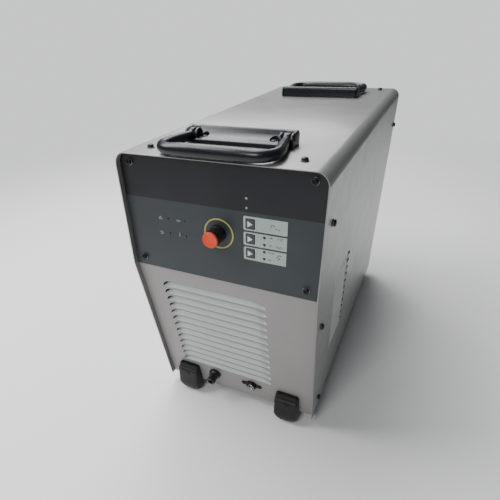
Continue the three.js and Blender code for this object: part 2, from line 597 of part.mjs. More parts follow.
// ---------------------------------------------------------------- rear panel
const GLAND = [84, 392];
const GAS = [104, 62];
{
  const w = HALF_W - SHEET - GAP;
  const plate = alongY(outline(SHEET + GAP, 1.5), REAR_Y - SHEET, REAR_Y);
  const strip = [[REAR_Y - FLANGE, 46], [REAR_Y - 1, 46], [REAR_Y - 1, CASE_H], [REAR_Y - FLANGE, CASE_H]];
  const flange = alongY(outline(SHEET + GAP, 0), REAR_Y - FLANGE, REAR_Y - 0.5)
    .subtract(alongY(outline(2 * SHEET + GAP, -2), REAR_Y - FLANGE - 1, REAR_Y))
    .intersect(alongX(strip, -w, w));
  const cuts = [
    rod(V(0, 630, FAN_Z), V(0, 660, FAN_Z), FAN_R - 2, FAN_R - 2, 28),
    box(BREAKER_X - 27.5, BREAKER_X + 27.5, 630, 660, BREAKER_Z - 23, BREAKER_Z + 23),
    rod(V(GLAND[0], 630, GLAND[1]), V(GLAND[0], 660, GLAND[1]), 12.4, 12.4, 16),
    rod(V(GAS[0], 630, GAS[1]), V(GAS[0], 660, GAS[1]), 6.9, 6.9, 12),
  ];
  for (const x of [-76, 76]) for (const z of [FAN_Z - 76, FAN_Z + 76]) cuts.push(hole(V(x, REAR_Y, z), UP.y, 2.4));
  for (const x of [-102, 102]) cuts.push(hole(V(x, REAR_Y, UPRIGHT_Z), UP.y, 2.6));
  node("rear_panel", cut(plate.add(flange), [...cuts, ...rearHoles]), PANEL_PAINT);
}

// ---------------------------------------------------------------- fan
{
  const g = at(V(0, 0, FAN_Z));
  const sq = 86, y0 = 594, y1 = REAR_Y - SHEET - GAP;
  const sqr = [[-sq, -sq + 8], [-sq + 8, -sq], [sq - 8, -sq], [sq, -sq + 8], [sq, sq - 8], [sq - 8, sq], [-sq + 8, sq], [-sq, sq - 8]];
  let frame = alongY(sqr, y1 - 5, y1, [circle(0, 0, FAN_R, 24)])
    .add(alongY(circle(0, 0, FAN_R + 3, 24), y0, y1, [circle(0, 0, FAN_R, 24)]));
  for (let i = 0; i < 4; i++) {
    const a = (i * Math.PI) / 2 + 0.5;
    frame = frame.add(rod(V(25 * Math.cos(a), y0 + 3, 25 * Math.sin(a)), V((FAN_R + 1.5) * Math.cos(a), y0 + 3, (FAN_R + 1.5) * Math.sin(a)), 3, 3, 4));
  }
  frame = frame.add(rod(V(0, y0, 0), V(0, y0 + 6, 0), 30, 30, 16)).add(rod(V(0, y0 + 5, 0), V(0, y0 + 20, 0), 5, 5, 10));
  for (const x of [-76, 76]) for (const z of [-76, 76]) frame = frame.subtract(rod(V(x, y0 - 1, z), V(x, y1 + 1, z), 2.4, 2.4, 8));
  node("fan_frame", frame, BLACK, g);
  const h0 = y0 + 8, h1 = y1 - 6;
  let rotor = turned(V(0, h0, 0), UP.y, [[5.6, 0], [32, 0], [32, h1 - h0 - 3], [29, h1 - h0], [0, h1 - h0], [0, 14], [5.6, 14], [5.6, 0]], 16);
  for (let i = 0; i < 7; i++) {
    const blade = new THREE.BoxGeometry(48, 2.4, 34, 3, 1, 1);
    const pos = blade.getAttribute("position");
    for (let k = 0; k < pos.count; k++) {
      const x = pos.getX(k) + 24, y = pos.getY(k), z = pos.getZ(k);
      const t = THREE.MathUtils.degToRad(48 - 20 * (x / 48));
      pos.setXYZ(k, x + 29, y * Math.cos(t) + z * Math.sin(t), -y * Math.sin(t) + z * Math.cos(t));
    }
    const a = (i * 2 * Math.PI) / 7;
    blade.rotateY(a).translate(0, (h0 + h1) / 2, 0);
    rotor = rotor.add(solid(blade));
  }
  rotor = rotor.intersect(rod(V(0, h0, 0), V(0, h1, 0), FAN_R - 3, FAN_R - 3, 28));
  node("fan_rotor", rotor, BLACK, g);
  // wire guard: rings joined by four spokes, with eyes at the corners
  const gy = REAR_Y + 2.6, wire = 1.5;
  let guard = null;
  for (const r of [22, 43, 64, 83]) {
    const ring = new THREE.TorusGeometry(r, wire, 4, 20);
    ring.rotateX(Math.PI / 2).translate(0, gy + 1.2, 0);
    guard = guard ? guard.add(solid(ring)) : solid(ring);
  }
  for (let i = 0; i < 4; i++) {
    const a = (i * Math.PI) / 2 + Math.PI / 4, c = Math.cos(a), s = Math.sin(a);
    guard = guard.add(rod(V(12 * c, gy, 12 * s), V(107.4 * c, gy, 107.4 * s), 1.7, 1.7, 4));
    guard = guard.add(rod(V(107.48 * c, REAR_Y + GAP, 107.48 * s), V(107.48 * c, gy + 1.6, 107.48 * s), 4.6, 4.6, 8));
  }
  node("fan_guard", guard, ZINC, g);
}

// ---------------------------------------------------------------- mains breaker
{
  const g = at(V(BREAKER_X, REAR_Y, BREAKER_Z));
  const body = box(-27, 27, -68, -SHEET - GAP, -42, 42).add(box(-26.7, 26.7, -20, 4, -22.4, 22.4)).subtract(box(-22, 22, -9, 10, -11, 11));
  node("mains_breaker", body, BLACK, g);
  const bar = [...arc(0, 0, 6.5, 0, 345, 14)];
  // toggle bar: drum in the breaker's slot with a lever that stands out
  const toggle = alongX(bar.map(([a, b]) => [a - 2.2, b]), -21.5, 21.5).add(
    alongX([[0, -3.5], [13, -6.8], [14.4, -5.6], [14.4, -2.6], [2.6, 3.6]], -21.5, 21.5),
  );
  node("breaker_toggle", toggle, SLEEVE, g);
}

// ---------------------------------------------------------------- mains gland and gas inlet
{
  const p = V(GLAND[0], REAR_Y, GLAND[1]);
  const body = turned(p, UP.y, [[8, -14], [12, -14], [12, GAP], [17, GAP], [17, 7], [14.6, 8], [15.6, 20], [13.5, 26], [9.4, 28.5], [8, 28.5], [8, -14]], 16);
  node("mains_gland", body, BLACK);
}
{
  const p = V(GAS[0], REAR_Y, GAS[1]);
  const body = turned(p, UP.y, [[3.4, -20], [6.5, -20], [6.5, GAP], [10, GAP], [10, 7], [6, 8], [5.2, 10], [6.2, 14], [5.2, 14.5], [6.2, 20], [5.2, 20.5], [5, 26], [3.4, 26], [3.4, -20]], 12);
  node("air_inlet", body, BRASS);
  const valve = box(GAS[0] - 17, GAS[0] + 17, 582, REAR_Y - 21, 44, 80).add(rod(V(GAS[0], 603, 79), V(GAS[0], 603, 118), 14, 14, 14)).add(box(GAS[0] - 12, GAS[0] + 12, 592, 614, 5.6, 45));
  node("solenoid_valve", valve, BRASS);
}

// ---------------------------------------------------------------- power section
{
  let shelf = box(-132, 132, 120, 585, 134, 136);
  for (const k of [-1, 1]) {
    const a = k > 0 ? 130 : -132;
    shelf = shelf.add(box(a, a + 2, 120, 585, 5.6, 135)).add(box(k > 0 ? 118 : -132, k > 0 ? 132 : -118, 120, 585, 5.6, 7.6));
  }
  for (const x of [-100, 100]) for (const y of [190, 350, 510]) shelf = shelf.add(rod(V(x, y, 135), V(x, y, 149.7), 4, 4, 8));
  node("inner_frame", shelf, ZINC);
  let sink = box(-76, 76, 250, 560, 121, 133.7);
  for (let i = 0; i < 10; i++) {
    const x = -72 + i * 15.6;
    sink = sink.add(box(x - 1.6, x + 1.6, 250, 560, 74, 122));
  }
  node("heatsink", sink, ALU);
  const board = box(-112, 112, 178, 530, 150, 152);
  // components soldered to it: capacitors and power modules
  const parts = [box(-96, -60, 300, 420, 151, 176), box(60, 96, 300, 420, 151, 176), box(-30, 30, 440, 510, 151, 190)];
  for (const x of [-27, 27]) for (const y of [235, 285, 335, 385]) parts.push(rod(V(x, y, 151), V(x, y, 212), 20, 20, 10));
  node("power_board", union([board, ...parts]), PCB);
  // ferrite frame with the winding round its middle leg
  const core = box(-52, 52, 128, 232, 8, 100).subtract(box(-34, -14, 120, 240, 26, 82)).subtract(box(14, 34, 120, 240, 26, 82));
  const winding = box(-31, 31, 136, 224, 28, 80).subtract(box(-14.3, 14.3, 120, 240, 20, 90));
  node("transformer_core", core.add(box(-60, 60, 140, 160, 5.6, 9)).add(box(-60, 60, 200, 220, 5.6, 9)), BLACK);
  const turns = box(-33.7, 33.7, 112, 248, 26.3, 81.7)
    .subtract(box(-14.3, 14.3, 127.7, 232.3, 20, 90))
    .subtract(box(-40, -33.4, 100, 260, 20, 90));
  node("transformer_winding", turns.subtract(box(-60, 60, 127.7, 232.3, 81, 90)), COPPER);
  const choke = turned(V(0, 330, 5.6), Z, [[18, 4], [22, 0], [50, 0], [54, 4], [54, 52], [50, 56], [22, 56], [18, 52], [18, 4]], 18);
  node("output_choke", choke, COPPER);
}

// ---------------------------------------------------------------- frame: centre of the footprint, on the floor
const bounds = new THREE.Box3().setFromObject(unit);
unit.position.set(-(bounds.min.x + bounds.max.x) / 2, -(bounds.min.y + bounds.max.y) / 2, -bounds.min.z);

const part = new THREE.Group();
part.add(unit);
export default part;
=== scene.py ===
import math
import bpy
import bmesh
from mathutils import Vector, Matrix


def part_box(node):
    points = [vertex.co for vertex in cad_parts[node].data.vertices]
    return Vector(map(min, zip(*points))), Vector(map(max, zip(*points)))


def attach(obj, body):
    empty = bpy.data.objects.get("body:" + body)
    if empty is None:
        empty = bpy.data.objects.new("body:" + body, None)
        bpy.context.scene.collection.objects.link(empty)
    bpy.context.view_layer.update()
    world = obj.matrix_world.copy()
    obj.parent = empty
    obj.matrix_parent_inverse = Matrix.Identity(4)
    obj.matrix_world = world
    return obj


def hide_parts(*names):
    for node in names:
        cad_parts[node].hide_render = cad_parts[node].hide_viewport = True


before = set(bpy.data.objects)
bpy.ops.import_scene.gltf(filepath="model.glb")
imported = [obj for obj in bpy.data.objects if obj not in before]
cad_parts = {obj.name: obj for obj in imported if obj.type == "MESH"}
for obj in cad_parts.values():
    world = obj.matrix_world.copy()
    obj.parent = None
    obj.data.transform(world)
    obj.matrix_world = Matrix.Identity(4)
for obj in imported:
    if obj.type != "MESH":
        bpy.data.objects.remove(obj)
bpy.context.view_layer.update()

# ------------------------------------------------------------------ dimensions, millimetres
# x to the right, y back from the cover's front edge, z up from the cover's lower edge
_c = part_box("top_side_cover")
OY = _c[0][1] * 1000.0
OZ = _c[0][2] * 1000.0
HALF_W, CASE_H, CASE_D, ROOF_R, SHEET = 150.0, 469.0, 653.0, 17.5, 1.5
BEND_Z, FOOT_IN, RECESS = 294.0, 52.0, 9.0
FASCIA_Y, FASCIA_Z0 = 8.0, 291.0
REAR_Y = 645.0
SLOPE = math.atan2(FOOT_IN, BEND_Z)
CS, SN = math.cos(SLOPE), math.sin(SLOPE)
PANEL_Y = 10.3
GRIP_H, HANDLE_PIVOT = 9.6, 84.0
EYE_X, ARM_X, ARM_R, BAIL_R = 71.0, 79.5, 7.0, 8.5


def P(x, y, z):
    return Vector((x / 1000.0, (y + OY) / 1000.0, (z + OZ) / 1000.0))


def slope_y(o, z):
    return (BEND_Z - z) * math.tan(SLOPE) + o / CS


S0 = Vector((0, RECESS * CS, BEND_Z + RECESS * SN))
OUT = Vector((0, -CS, -SN))
DOWN = Vector((0, SN, -CS))
X, Y, Z = Vector((1, 0, 0)), Vector((0, 1, 0)), Vector((0, 0, 1))


def on_slope(x, s, out=0.0):
    v = Vector((x, 0, 0)) + S0 + DOWN * s + OUT * out
    return P(v.x, v.y, v.z)


# ------------------------------------------------------------------ materials
def lin(c):
    def f(v):
        v = v / 255.0
        return v / 12.92 if v <= 0.04045 else ((v + 0.055) / 1.055) ** 2.4
    return tuple(f(v) for v in c) + (1.0,)


class Tree:
    def __init__(self, name):
        self.m = bpy.data.materials.new(name)
        self.m.use_nodes = True
        self.t = self.m.node_tree
        self.b = self.t.nodes["Principled BSDF"]
        self.co = self.n("ShaderNodeTexCoord").outputs["Object"]

    def n(self, kind, **kw):
        node = self.t.nodes.new(kind)
        for k, v in kw.items():
            setattr(node, k, v)
        return node

    def link(self, a, b):
        self.t.links.new(a, b)

    def noise(self, scale, detail=3.0, rough=0.55, stretch=None):
        n = self.n("ShaderNodeTexNoise")
        n.inputs["Scale"].default_value = scale
        n.inputs["Detail"].default_value = detail
        n.inputs["Roughness"].default_value = rough
        co = self.co
        if stretch:
            m = self.n("ShaderNodeMapping")
            m.inputs["Scale"].default_value = stretch
            self.link(co, m.inputs["Vector"])
            co = m.outputs["Vector"]
        self.link(co, n.inputs["Vector"])
        return n.outputs["Fac"]

    def span(self, value, lo, hi, a=0.3, b=0.7):
        m = self.n("ShaderNodeMapRange")
        m.inputs["From Min"].default_value = a
        m.inputs["From Max"].default_value = b
        m.inputs["To Min"].default_value = lo
        m.inputs["To Max"].default_value = hi
        self.link(value, m.inputs["Value"])
        return m.outputs["Result"]

    def mix(self, fac, a, b):
        m = self.n("ShaderNodeMix", data_type="RGBA")
        if isinstance(fac, (int, float)):
            m.inputs["Factor"].default_value = fac
        else:
            self.link(fac, m.inputs["Factor"])
        for key, v in (("A", a), ("B", b)):
            s = [i for i in m.inputs if i.name == key and i.type == "RGBA"][0]
            if isinstance(v, tuple):
                s.default_value = v
            else:
                self.link(v, s)
        return [o for o in m.outputs if o.type == "RGBA"][0]

    def bump(self, height, strength, dist, normal=None):
        b = self.n("ShaderNodeBump")
        b.inputs["Strength"].default_value = strength
        b.inputs["Distance"].default_value = dist
        self.link(height, b.inputs["Height"])
        if normal is not None:
            self.link(normal, b.inputs["Normal"])
        self.link(b.outputs["Normal"], self.b.inputs["Normal"])
        return b.outputs["Normal"]


def surface(name, rgb, rough=0.5, metal=0.0, var=0.07, var_scale=14.0, rough_var=0.06, grain=900.0,
            grain_h=0.00003, wave=None, coat=0.0, spec=0.5, stretch=None, rgb2=None, speck=0.0):
    t = Tree(name)
    base = lin(rgb)
    dark = tuple(v * (1 - var) for v in base[:3]) + (1,)
    light = tuple(min(1, v * (1 + var)) for v in (lin(rgb2) if rgb2 else base)[:3]) + (1,)
    col = t.mix(t.span(t.noise(var_scale, 4.0, stretch=stretch), 0, 1), dark, light)
    if speck:
        col = t.mix(t.span(t.noise(1400.0, 1.0), 0, speck, 0.55, 0.75), col, tuple(v * 0.55 for v in base[:3]) + (1,))
    t.link(col, t.b.inputs["Base Color"])
    t.link(t.span(t.noise(var_scale * 3.1, 3.0, stretch=stretch), rough - rough_var, rough + rough_var), t.b.inputs["Roughness"])
    t.b.inputs["Metallic"].default_value = metal
    t.b.inputs["Specular IOR Level"].default_value = spec
    if coat:
        t.b.inputs["Coat Weight"].default_value = coat
        t.b.inputs["Coat Roughness"].default_value = 0.12
    n = t.bump(t.noise(grain, 2.0, stretch=stretch), 0.6, grain_h)
    if wave:
        t.bump(t.noise(wave[0], 2.0), 0.5, wave[1], n)
    return t.m


PAINT = surface("case_paint", (134, 135, 133), 0.36, 0.3, 0.03, 9.0, 0.04, 1500.0, 0.000035, wave=(55.0, 0.00018), coat=0.12, spec=0.55, speck=0.05)
PANEL = surface("panel_paint", (146, 142, 141), 0.42, 0.1, 0.035, 9.0, 0.05, 1500.0, 0.00004, wave=(60.0, 0.00012), spec=0.5, speck=0.06)
# louvre blades: same paint as the sheet they are pressed from, painted paler to stand in for the light their up-tilted
# faces catch (painted highlight)
BLADE_LIT_PAINT = surface("louvre_paint_painted_light", (184, 192, 190), 0.4, 0.1, 0.03, 16.0, 0.05, 1500.0, 0.00004, wave=(90.0, 0.0001), spec=0.5, speck=0.05)
ZINC = surface("zinc_plate", (170, 172, 176), 0.38, 0.9, 0.08, 22.0, 0.08, 700.0, 0.00004)
HANDLE = surface("handle_nylon", (22, 26, 31), 0.3, 0.0, 0.1, 30.0, 0.04, 1600.0, 0.000005, wave=(60.0, 0.00002), coat=0.1, spec=0.35)
RUBBER = surface("foot_rubber", (13, 13, 15), 0.42, 0.0, 0.12, 40.0, 0.08, 1300.0, 0.00002, spec=0.35)
BLACK = surface("black_plastic", (12, 13, 14), 0.4, 0.0, 0.1, 40.0, 0.06, 1200.0, 0.00004)
KNOB = surface("knob_plastic", (17, 18, 19), 0.4, 0.0, 0.1, 60.0, 0.05, 1500.0, 0.00003)
ORANGE = surface("cap_orange", (226, 62, 20), 0.38, 0.0, 0.05, 70.0, 0.05, 1500.0, 0.00002, spec=0.45)
KEYM = surface("key_plastic", (54, 60, 59), 0.45, 0.0, 0.06, 80.0, 0.05, 1300.0, 0.00002)
CHROME = surface("socket_nickel", (200, 201, 203), 0.2, 1.0, 0.05, 60.0, 0.05, 900.0, 0.00001)
SCREW = surface("screw_black", (44, 44, 46), 0.3, 0.8, 0.12, 90.0, 0.08, 1200.0, 0.00003)
STEEL = surface("screw_steel", (108, 108, 111), 0.34, 0.9, 0.1, 90.0, 0.08, 1200.0, 0.00002)
PCB = surface("board_green", (28, 92, 56), 0.4, 0.0, 0.15, 60.0, 0.06, 500.0, 0.0001)
ALU = surface("aluminium_fin", (186, 188, 190), 0.36, 0.95, 0.06, 30.0, 0.08, 500.0, 0.00004, stretch=(1, 0.1, 1))
COPPER = surface("enamelled_wire", (164, 92, 48), 0.36, 0.5, 0.15, 90.0, 0.08, 300.0, 0.0002, stretch=(0.1, 0.1, 1))
# nickel socket shell and flange: painted near-black to stand in for the dark surroundings the ring reflects (painted
# reflection)
SOCKET_REFLECTION_DARK = surface("socket_ring_painted_reflection", (30, 31, 33), 0.3, 0.6, 0.1, 60.0, 0.05, 900.0, 0.00001)
PALEP = surface("insert_pale", (206, 208, 206), 0.4, 0.0, 0.05, 90.0, 0.05, 900.0, 0.00001)
FERRITE = surface("ferrite", (52, 52, 54), 0.55, 0.0, 0.1, 60.0, 0.06, 500.0, 0.0001)
BRASS = surface("brass", (186, 150, 84), 0.28, 1.0, 0.08, 60.0, 0.08, 900.0, 0.00002)
TOGGLE = surface("toggle_plastic", (36, 52, 78), 0.35, 0.0, 0.06, 60.0, 0.05, 1200.0, 0.00003)
WIRE = surface("guard_wire", (150, 152, 155), 0.3, 0.95, 0.08, 60.0, 0.08, 900.0, 0.00002)
LABEL = surface("label_film", (158, 172, 166), 0.42, 0.0, 0.03, 60.0, 0.05, 1500.0, 0.00001)
PALE = surface("print_pale", (206, 213, 212), 0.5, 0.0, 0.03, 60.0, 0.05, 1500.0, 0.00001)
GREYP = surface("print_grey", (140, 148, 150), 0.5, 0.0, 0.05, 60.0, 0.05, 1500.0, 0.00001)
DARKP = surface("print_dark", (74, 84, 80), 0.5, 0.0, 0.05, 60.0, 0.05, 1500.0, 0.00001)
YELLOW = surface("print_ring", (172, 160, 74), 0.48, 0.0, 0.05, 60.0, 0.05, 1500.0, 0.00001)
LENS = surface("lens_dark", (14, 18, 17), 0.14, 0.0, 0.1, 90.0, 0.04, 1200.0, 0.00001, coat=0.5)
LENSP = surface("lens_pale", (150, 158, 156), 0.25, 0.0, 0.06, 90.0, 0.04, 1200.0, 0.00001, coat=0.3)


def fascia_material():
    t = Tree("fascia_film")
    sep = t.n("ShaderNodeSeparateXYZ")
    t.link(t.co, sep.inputs[0])
    edge = (405.5 + OZ) / 1000.0
    band = t.n("ShaderNodeMapRange")
    band.inputs["From Min"].default_value = edge - 0.0004
    band.inputs["From Max"].default_value = edge + 0.0004
    t.link(sep.outputs["Z"], band.inputs["Value"])
    cloud = t.span(t.noise(10.0, 4.0), 0, 1)
    lower = t.mix(cloud, lin((46, 52, 56)), lin((51, 57, 61)))
    upper = t.mix(cloud, lin((20, 22, 27)), lin((24, 26, 31)))
    t.link(t.mix(band.outputs["Result"], lower, upper), t.b.inputs["Base Color"])
    t.link(t.span(t.noise(24.0), 0.34, 0.44), t.b.inputs["Roughness"])
    t.b.inputs["Specular IOR Level"].default_value = 0.35
    n = t.bump(t.noise(1800.0, 1.0), 0.5, 0.00002)
    t.bump(t.noise(40.0, 2.0), 0.5, 0.0001, n)
    return t.m


FASCIA = fascia_material()


# ------------------------------------------------------------------ mesh helpers
def finish_mesh(me, smooth):
    for p in me.polygons:
        p.use_smooth = True
    if smooth < 180:
        me.set_sharp_from_angle(angle=math.radians(smooth))


def bake_mods(ob):
    dg = bpy.context.evaluated_depsgraph_get()
    me = bpy.data.meshes.new_from_object(ob.evaluated_get(dg), depsgraph=dg)
    old = ob.data
    ob.modifiers.clear()
    ob.data = me
    me.name = old.name + "_m"
    return ob


def make(name, verts, faces, material, body="case", smooth=35.0, bevel=0.0, seg=2, slot=None, limit=32.0, recalc=True, solid=0.0):
    me = bpy.data.meshes.new(name)
    me.from_pydata([tuple(v) for v in verts], [], faces)
    bm = bmesh.new()
    bm.from_mesh(me)
    bmesh.ops.remove_doubles(bm, verts=bm.verts, dist=1e-6)
    bmesh.ops.dissolve_degenerate(bm, edges=bm.edges, dist=1e-7)
    if recalc:
        bmesh.ops.recalc_face_normals(bm, faces=bm.faces)
    bm.to_mesh(me)
    bm.free()
    me.materials.append(material)
    ob = bpy.data.objects.new(name, me)
    bpy.context.collection.objects.link(ob)
    if solid:
        m = ob.modifiers.new("s", "SOLIDIFY")
        m.thickness, m.offset = solid / 1000.0, -1.0
    if bevel:
        for p in me.polygons:
            p.use_smooth = True
        m = ob.modifiers.new("b", "BEVEL")
        m.width, m.segments = bevel / 1000.0, seg
        m.limit_method, m.angle_limit = "ANGLE", math.radians(limit)
        m.use_clamp_overlap = True
        w = ob.modifiers.new("w", "WEIGHTED_NORMAL")
        w.keep_sharp = True
    if solid or bevel:
        bake_mods(ob)
    if not bevel:
        finish_mesh(ob.data, smooth)
    if body:
        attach(ob, body)
    return ob


def loft(rings, cap=True, close=False):
    verts = [v for r in rings for v in r]
    n, faces = len(rings[0]), []
    m = len(rings)
    for i in range(m - (0 if close else 1)):
        a, b = i * n, ((i + 1) % m) * n
        for k in range(n):
            l = (k + 1) % n
            faces.append((a + k, a + l, b + l, b + k))
    if cap and not close:
        faces.append(tuple(range(n - 1, -1, -1)))
        faces.append(tuple((m - 1) * n + k for k in range(n)))
    return verts, faces


def frame_of(d):
    d = d.normalized()
    a = Vector((0, 0, 1)) if abs(d.z) < 0.9 else Vector((1, 0, 0))
    u = a.cross(d).normalized()
    return u, d.cross(u), d


def lathe_geo(p, d, prof, seg=40, phase=0.0):
    """prof holds (radius, along) in millimetres from p (metres) along d."""
    u, v, w = frame_of(d)
    verts, faces, idx = [], [], []
    for r, l in prof:
        c = p + w * (l / 1000.0)
        if r <= 1e-6:
            idx.append([len(verts)] * seg)
            verts.append(c)
        else:
            row = []
            for k in range(seg):
                t = 2 * math.pi * k / seg + phase
                row.append(len(verts))
                verts.append(c + (u * math.cos(t) + v * math.sin(t)) * (r / 1000.0))
            idx.append(row)
    for i in range(len(idx) - 1):
        for k in range(seg):
            l = (k + 1) % seg
            q = [idx[i][k], idx[i][l], idx[i + 1][l], idx[i + 1][k]]
            q = [x for j, x in enumerate(q) if x not in q[:j]]
            if len(q) > 2:
                faces.append(tuple(q))
    return verts, faces


def lathe(name, p, d, prof, material, seg=40, **kw):
    v, f = lathe_geo(p, d, prof, seg)
    return make(name, v, f, material, **kw)


def merge(*geos):
    verts, faces = [], []
    for v, f in geos:
        o = len(verts)
        verts += list(v)
        faces += [tuple(i + o for i in q) for q in f]
    return verts, faces


def shift(geo, d):
    return [v + d for v in geo[0]], geo[1]


def arc(cx, cy, r, a0, a1, n, ry=None):
    return [(cx + r * math.cos(math.radians(a0 + (a1 - a0) * i / n)), cy + (ry or r) * math.sin(math.radians(a0 + (a1 - a0) * i / n))) for i in range(n + 1)]


def ring2(cx, cy, r, n=32):
    return arc(cx, cy, r, 0, 360.0 - 360.0 / n, n - 1)


def plate(name, outlines, thick, origin, u, v, material, bevel=0.0, smooth=30.0, **kw):
    """Flat plate: outlines in millimetres along u and v, the first outside and the rest holes; thick goes along -u x v."""
    cu = bpy.data.curves.new(name + "_c", "CURVE")
    cu.dimensions, cu.fill_mode = "2D", "BOTH"
    cu.extrude = thick / 2000.0
    for o in outlines:
        s = cu.splines.new("POLY")
        s.points.add(len(o) - 1)
        for q, (a, b) in zip(s.points, o):
            q.co = (a / 1000.0, b / 1000.0, 0, 1)
        s.use_cyclic_u = True
    ob = bpy.data.objects.new(name + "_c", cu)
    bpy.context.collection.objects.link(ob)
    dg = bpy.context.evaluated_depsgraph_get()
    me = bpy.data.meshes.new_from_object(ob.evaluated_get(dg), depsgraph=dg)
    w = u.cross(v)
    verts = [origin + u * p.co.x + v * p.co.y + w * (p.co.z - thick / 2000.0) for p in me.vertices]
    faces = [tuple(p.vertices) for p in me.polygons]
    bpy.data.objects.remove(ob)
    bpy.data.curves.remove(cu)
    bpy.data.meshes.remove(me)
    return make(name, verts, faces, material, smooth=smooth, bevel=bevel, **kw)


def rounded(x0, x1, y0, y1, r, n=5, corners=(1, 1, 1, 1)):
    """Rounded rectangle; corners: lower left, lower right, upper right, upper left."""
    out = []
    spec = ((x0, y0, 180, 1, 1), (x1, y0, 270, -1, 1), (x1, y1, 0, -1, -1), (x0, y1, 90, 1, -1))
    for on, (cx, cy, a, sx, sy) in zip(corners, spec):
        if on:
            out += arc(cx + sx * r, cy + sy * r, r, a, a + 90, n)
        else:
            out.append((cx, cy))
    return out


def prism_x(pts, x0, x1):
    """Section of (y, z) from x0 to x1."""
    return loft([[P(x0, y, z) for y, z in pts], [P(x1, y, z) for y, z in pts]])


def tube_geo(path, radii, seg=24, normal=Z, squash=1.0):
    rings = []
    for i, p in enumerate(path):
        t = (path[min(i + 1, len(path) - 1)] - path[max(i - 1, 0)]).normalized()
        side = t.cross(normal).normalized()
        up = side.cross(t)
        r = radii[i] / 1000.0
        rings.append([p + side * (r * math.cos(2 * math.pi * k / seg)) + up * (r * squash * math.sin(2 * math.pi * k / seg)) for k in range(seg)])
    return loft(rings)


# ------------------------------------------------------------------ cover
def louvre_outline(l, h, v0=0.0, n=7):
    e, right, left = 18.0, [], []
    for i in range(n + 1):
        t = math.pi / 2 * i / n
        right.append((l - e + e * math.cos(t), max(v0, h * math.sin(t))))
        left.insert(0, (e - e * math.cos(t), max(v0, h * math.sin(t))))
    return right + left


def blade_geo(p, u, n, up, l, h, depth=5.4):
    """Pressed blade: flush with the sheet at its lower edge, depth behind it at its top, its ends drawn in below the slot's ends."""
    ends = [(0.4, 0.5), (1.2, 1.2), (3, 2.6), (6, 4.8), (10, 7.5), (15, 10.6), (18, 12.2), (21, h - 0.02)]
    cols = ends + [(21 + (l - 42) * i / 6.0, h - 0.02) for i in range(1, 6)] + [(l - m, t) for m, t in reversed(ends)]
    verts, faces, R = [], [], 8
    for x, top in cols:
        g = min(1.0, (min(x, l - x) / 4.0) ** 0.7)
        for j in range(R + 1):
            w = j / R
            d = depth * g * (0.75 * w + 0.45 * w * w - 0.2 * w ** 3) + 0.04
            verts.append(p + u * (x / 1000) + up * (top * w / 1000) - n * (d / 1000))
    for i in range(len(cols) - 1):
        for j in range(R):
            a = i * (R + 1) + j
            faces.append((a, a + R + 1, a + R + 2, a + 1))
    return verts, faces


front_slots, front_blades = [], []
LX0, LX1, LS, LH, LP = -112.0, 71.0, 34.2, 13.3, 16.25
for i in range(13):
    s = LS + LH + i * LP
    front_slots.append((LX0, s, LX1 - LX0, LH))
    front_blades.append(blade_geo(on_slope(LX0, s), X, OUT, -DOWN, LX1 - LX0, LH))
side_slots, side_blades = [], []
SY0, SY1, SZ, SH, SP = 101.0, 226.0, 269.0, 11.8, 14.6
for i in range(11):
    top = SZ - i * SP
    y0 = SY0 + (SZ - top) * math.tan(SLOPE)
    side_slots.append((y0, top - SH, SY1 - y0, SH))
    for k in (-1, 1):
        side_blades.append(blade_geo(P(k * HALF_W, y0, top - SH), Y, X * k, Z, SY1 - y0, SH))

TOPZ = CASE_H - ROOF_R
side_outline = [(0.0, BEND_Z), (FOOT_IN, 0.0), (CASE_D, 0.0), (CASE_D, TOPZ), (0.0, TOPZ)]
for k, nm in ((-1, "left"), (1, "right")):
    holes = [[(y0 + a, z0 + b) for a, b in louvre_outline(l, h, 0.05)] for y0, z0, l, h in side_slots]
    if k > 0:
        plate("cover_side_" + nm, [side_outline] + holes, SHEET, P(HALF_W, 0, 0), Y, Z, PAINT, slot="case_paint")
    else:
        flip = lambda o: [(-a, b) for a, b in o]
        plate("cover_side_" + nm, [flip(side_outline)] + [flip(h) for h in holes], SHEET, P(-HALF_W, 0, 0), -Y, Z, PAINT, slot="case_paint")
outer = arc(HALF_W - ROOF_R, TOPZ, ROOF_R, 0, 90, 18) + arc(-HALF_W + ROOF_R, TOPZ, ROOF_R, 90, 180, 18)
inner = arc(HALF_W - ROOF_R, TOPZ, ROOF_R - SHEET, 0, 90, 18) + arc(-HALF_W + ROOF_R, TOPZ, ROOF_R - SHEET, 90, 180, 18)
n = len(outer)
ys = [0.0, 0.6, CASE_D - 0.6, CASE_D]
verts, faces = [], []
for j, y in enumerate(ys):
    e = 0.45 if j in (0, 3) else 0.0
    for (a, b), (c, d) in zip(outer, inner):
        q = Vector((a - c, b - d)).normalized() * e
        verts.append(P(a - q.x, y, b - q.y))
    for (c, d) in inner:
        verts.append(P(c, y, d))
m = 2 * n
for j in range(len(ys) - 1):
    for i in range(n - 1):
        a = j * m + i
        faces.append((a, a + 1, a + m + 1, a + m))
        a = j * m + n + i
        faces.append((a + 1, a, a + m, a + m + 1))
for i in range(n - 1):
    faces.append((i + 1, i, n + i, n + i + 1))
    a = (len(ys) - 1) * m
    faces.append((a + i, a + i + 1, a + n + i + 1, a + n + i))
roof = make("cover_roof", verts, faces, PAINT, smooth=50, slot="case_paint")
v, f = merge(*side_blades)
# side blades take the paler painted-light paint rather than the cover's own paint
blades = make("cover_louvre_blades", v, f, BLADE_LIT_PAINT, smooth=180, solid=1.1, slot="case_paint", recalc=True)
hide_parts("top_side_cover")

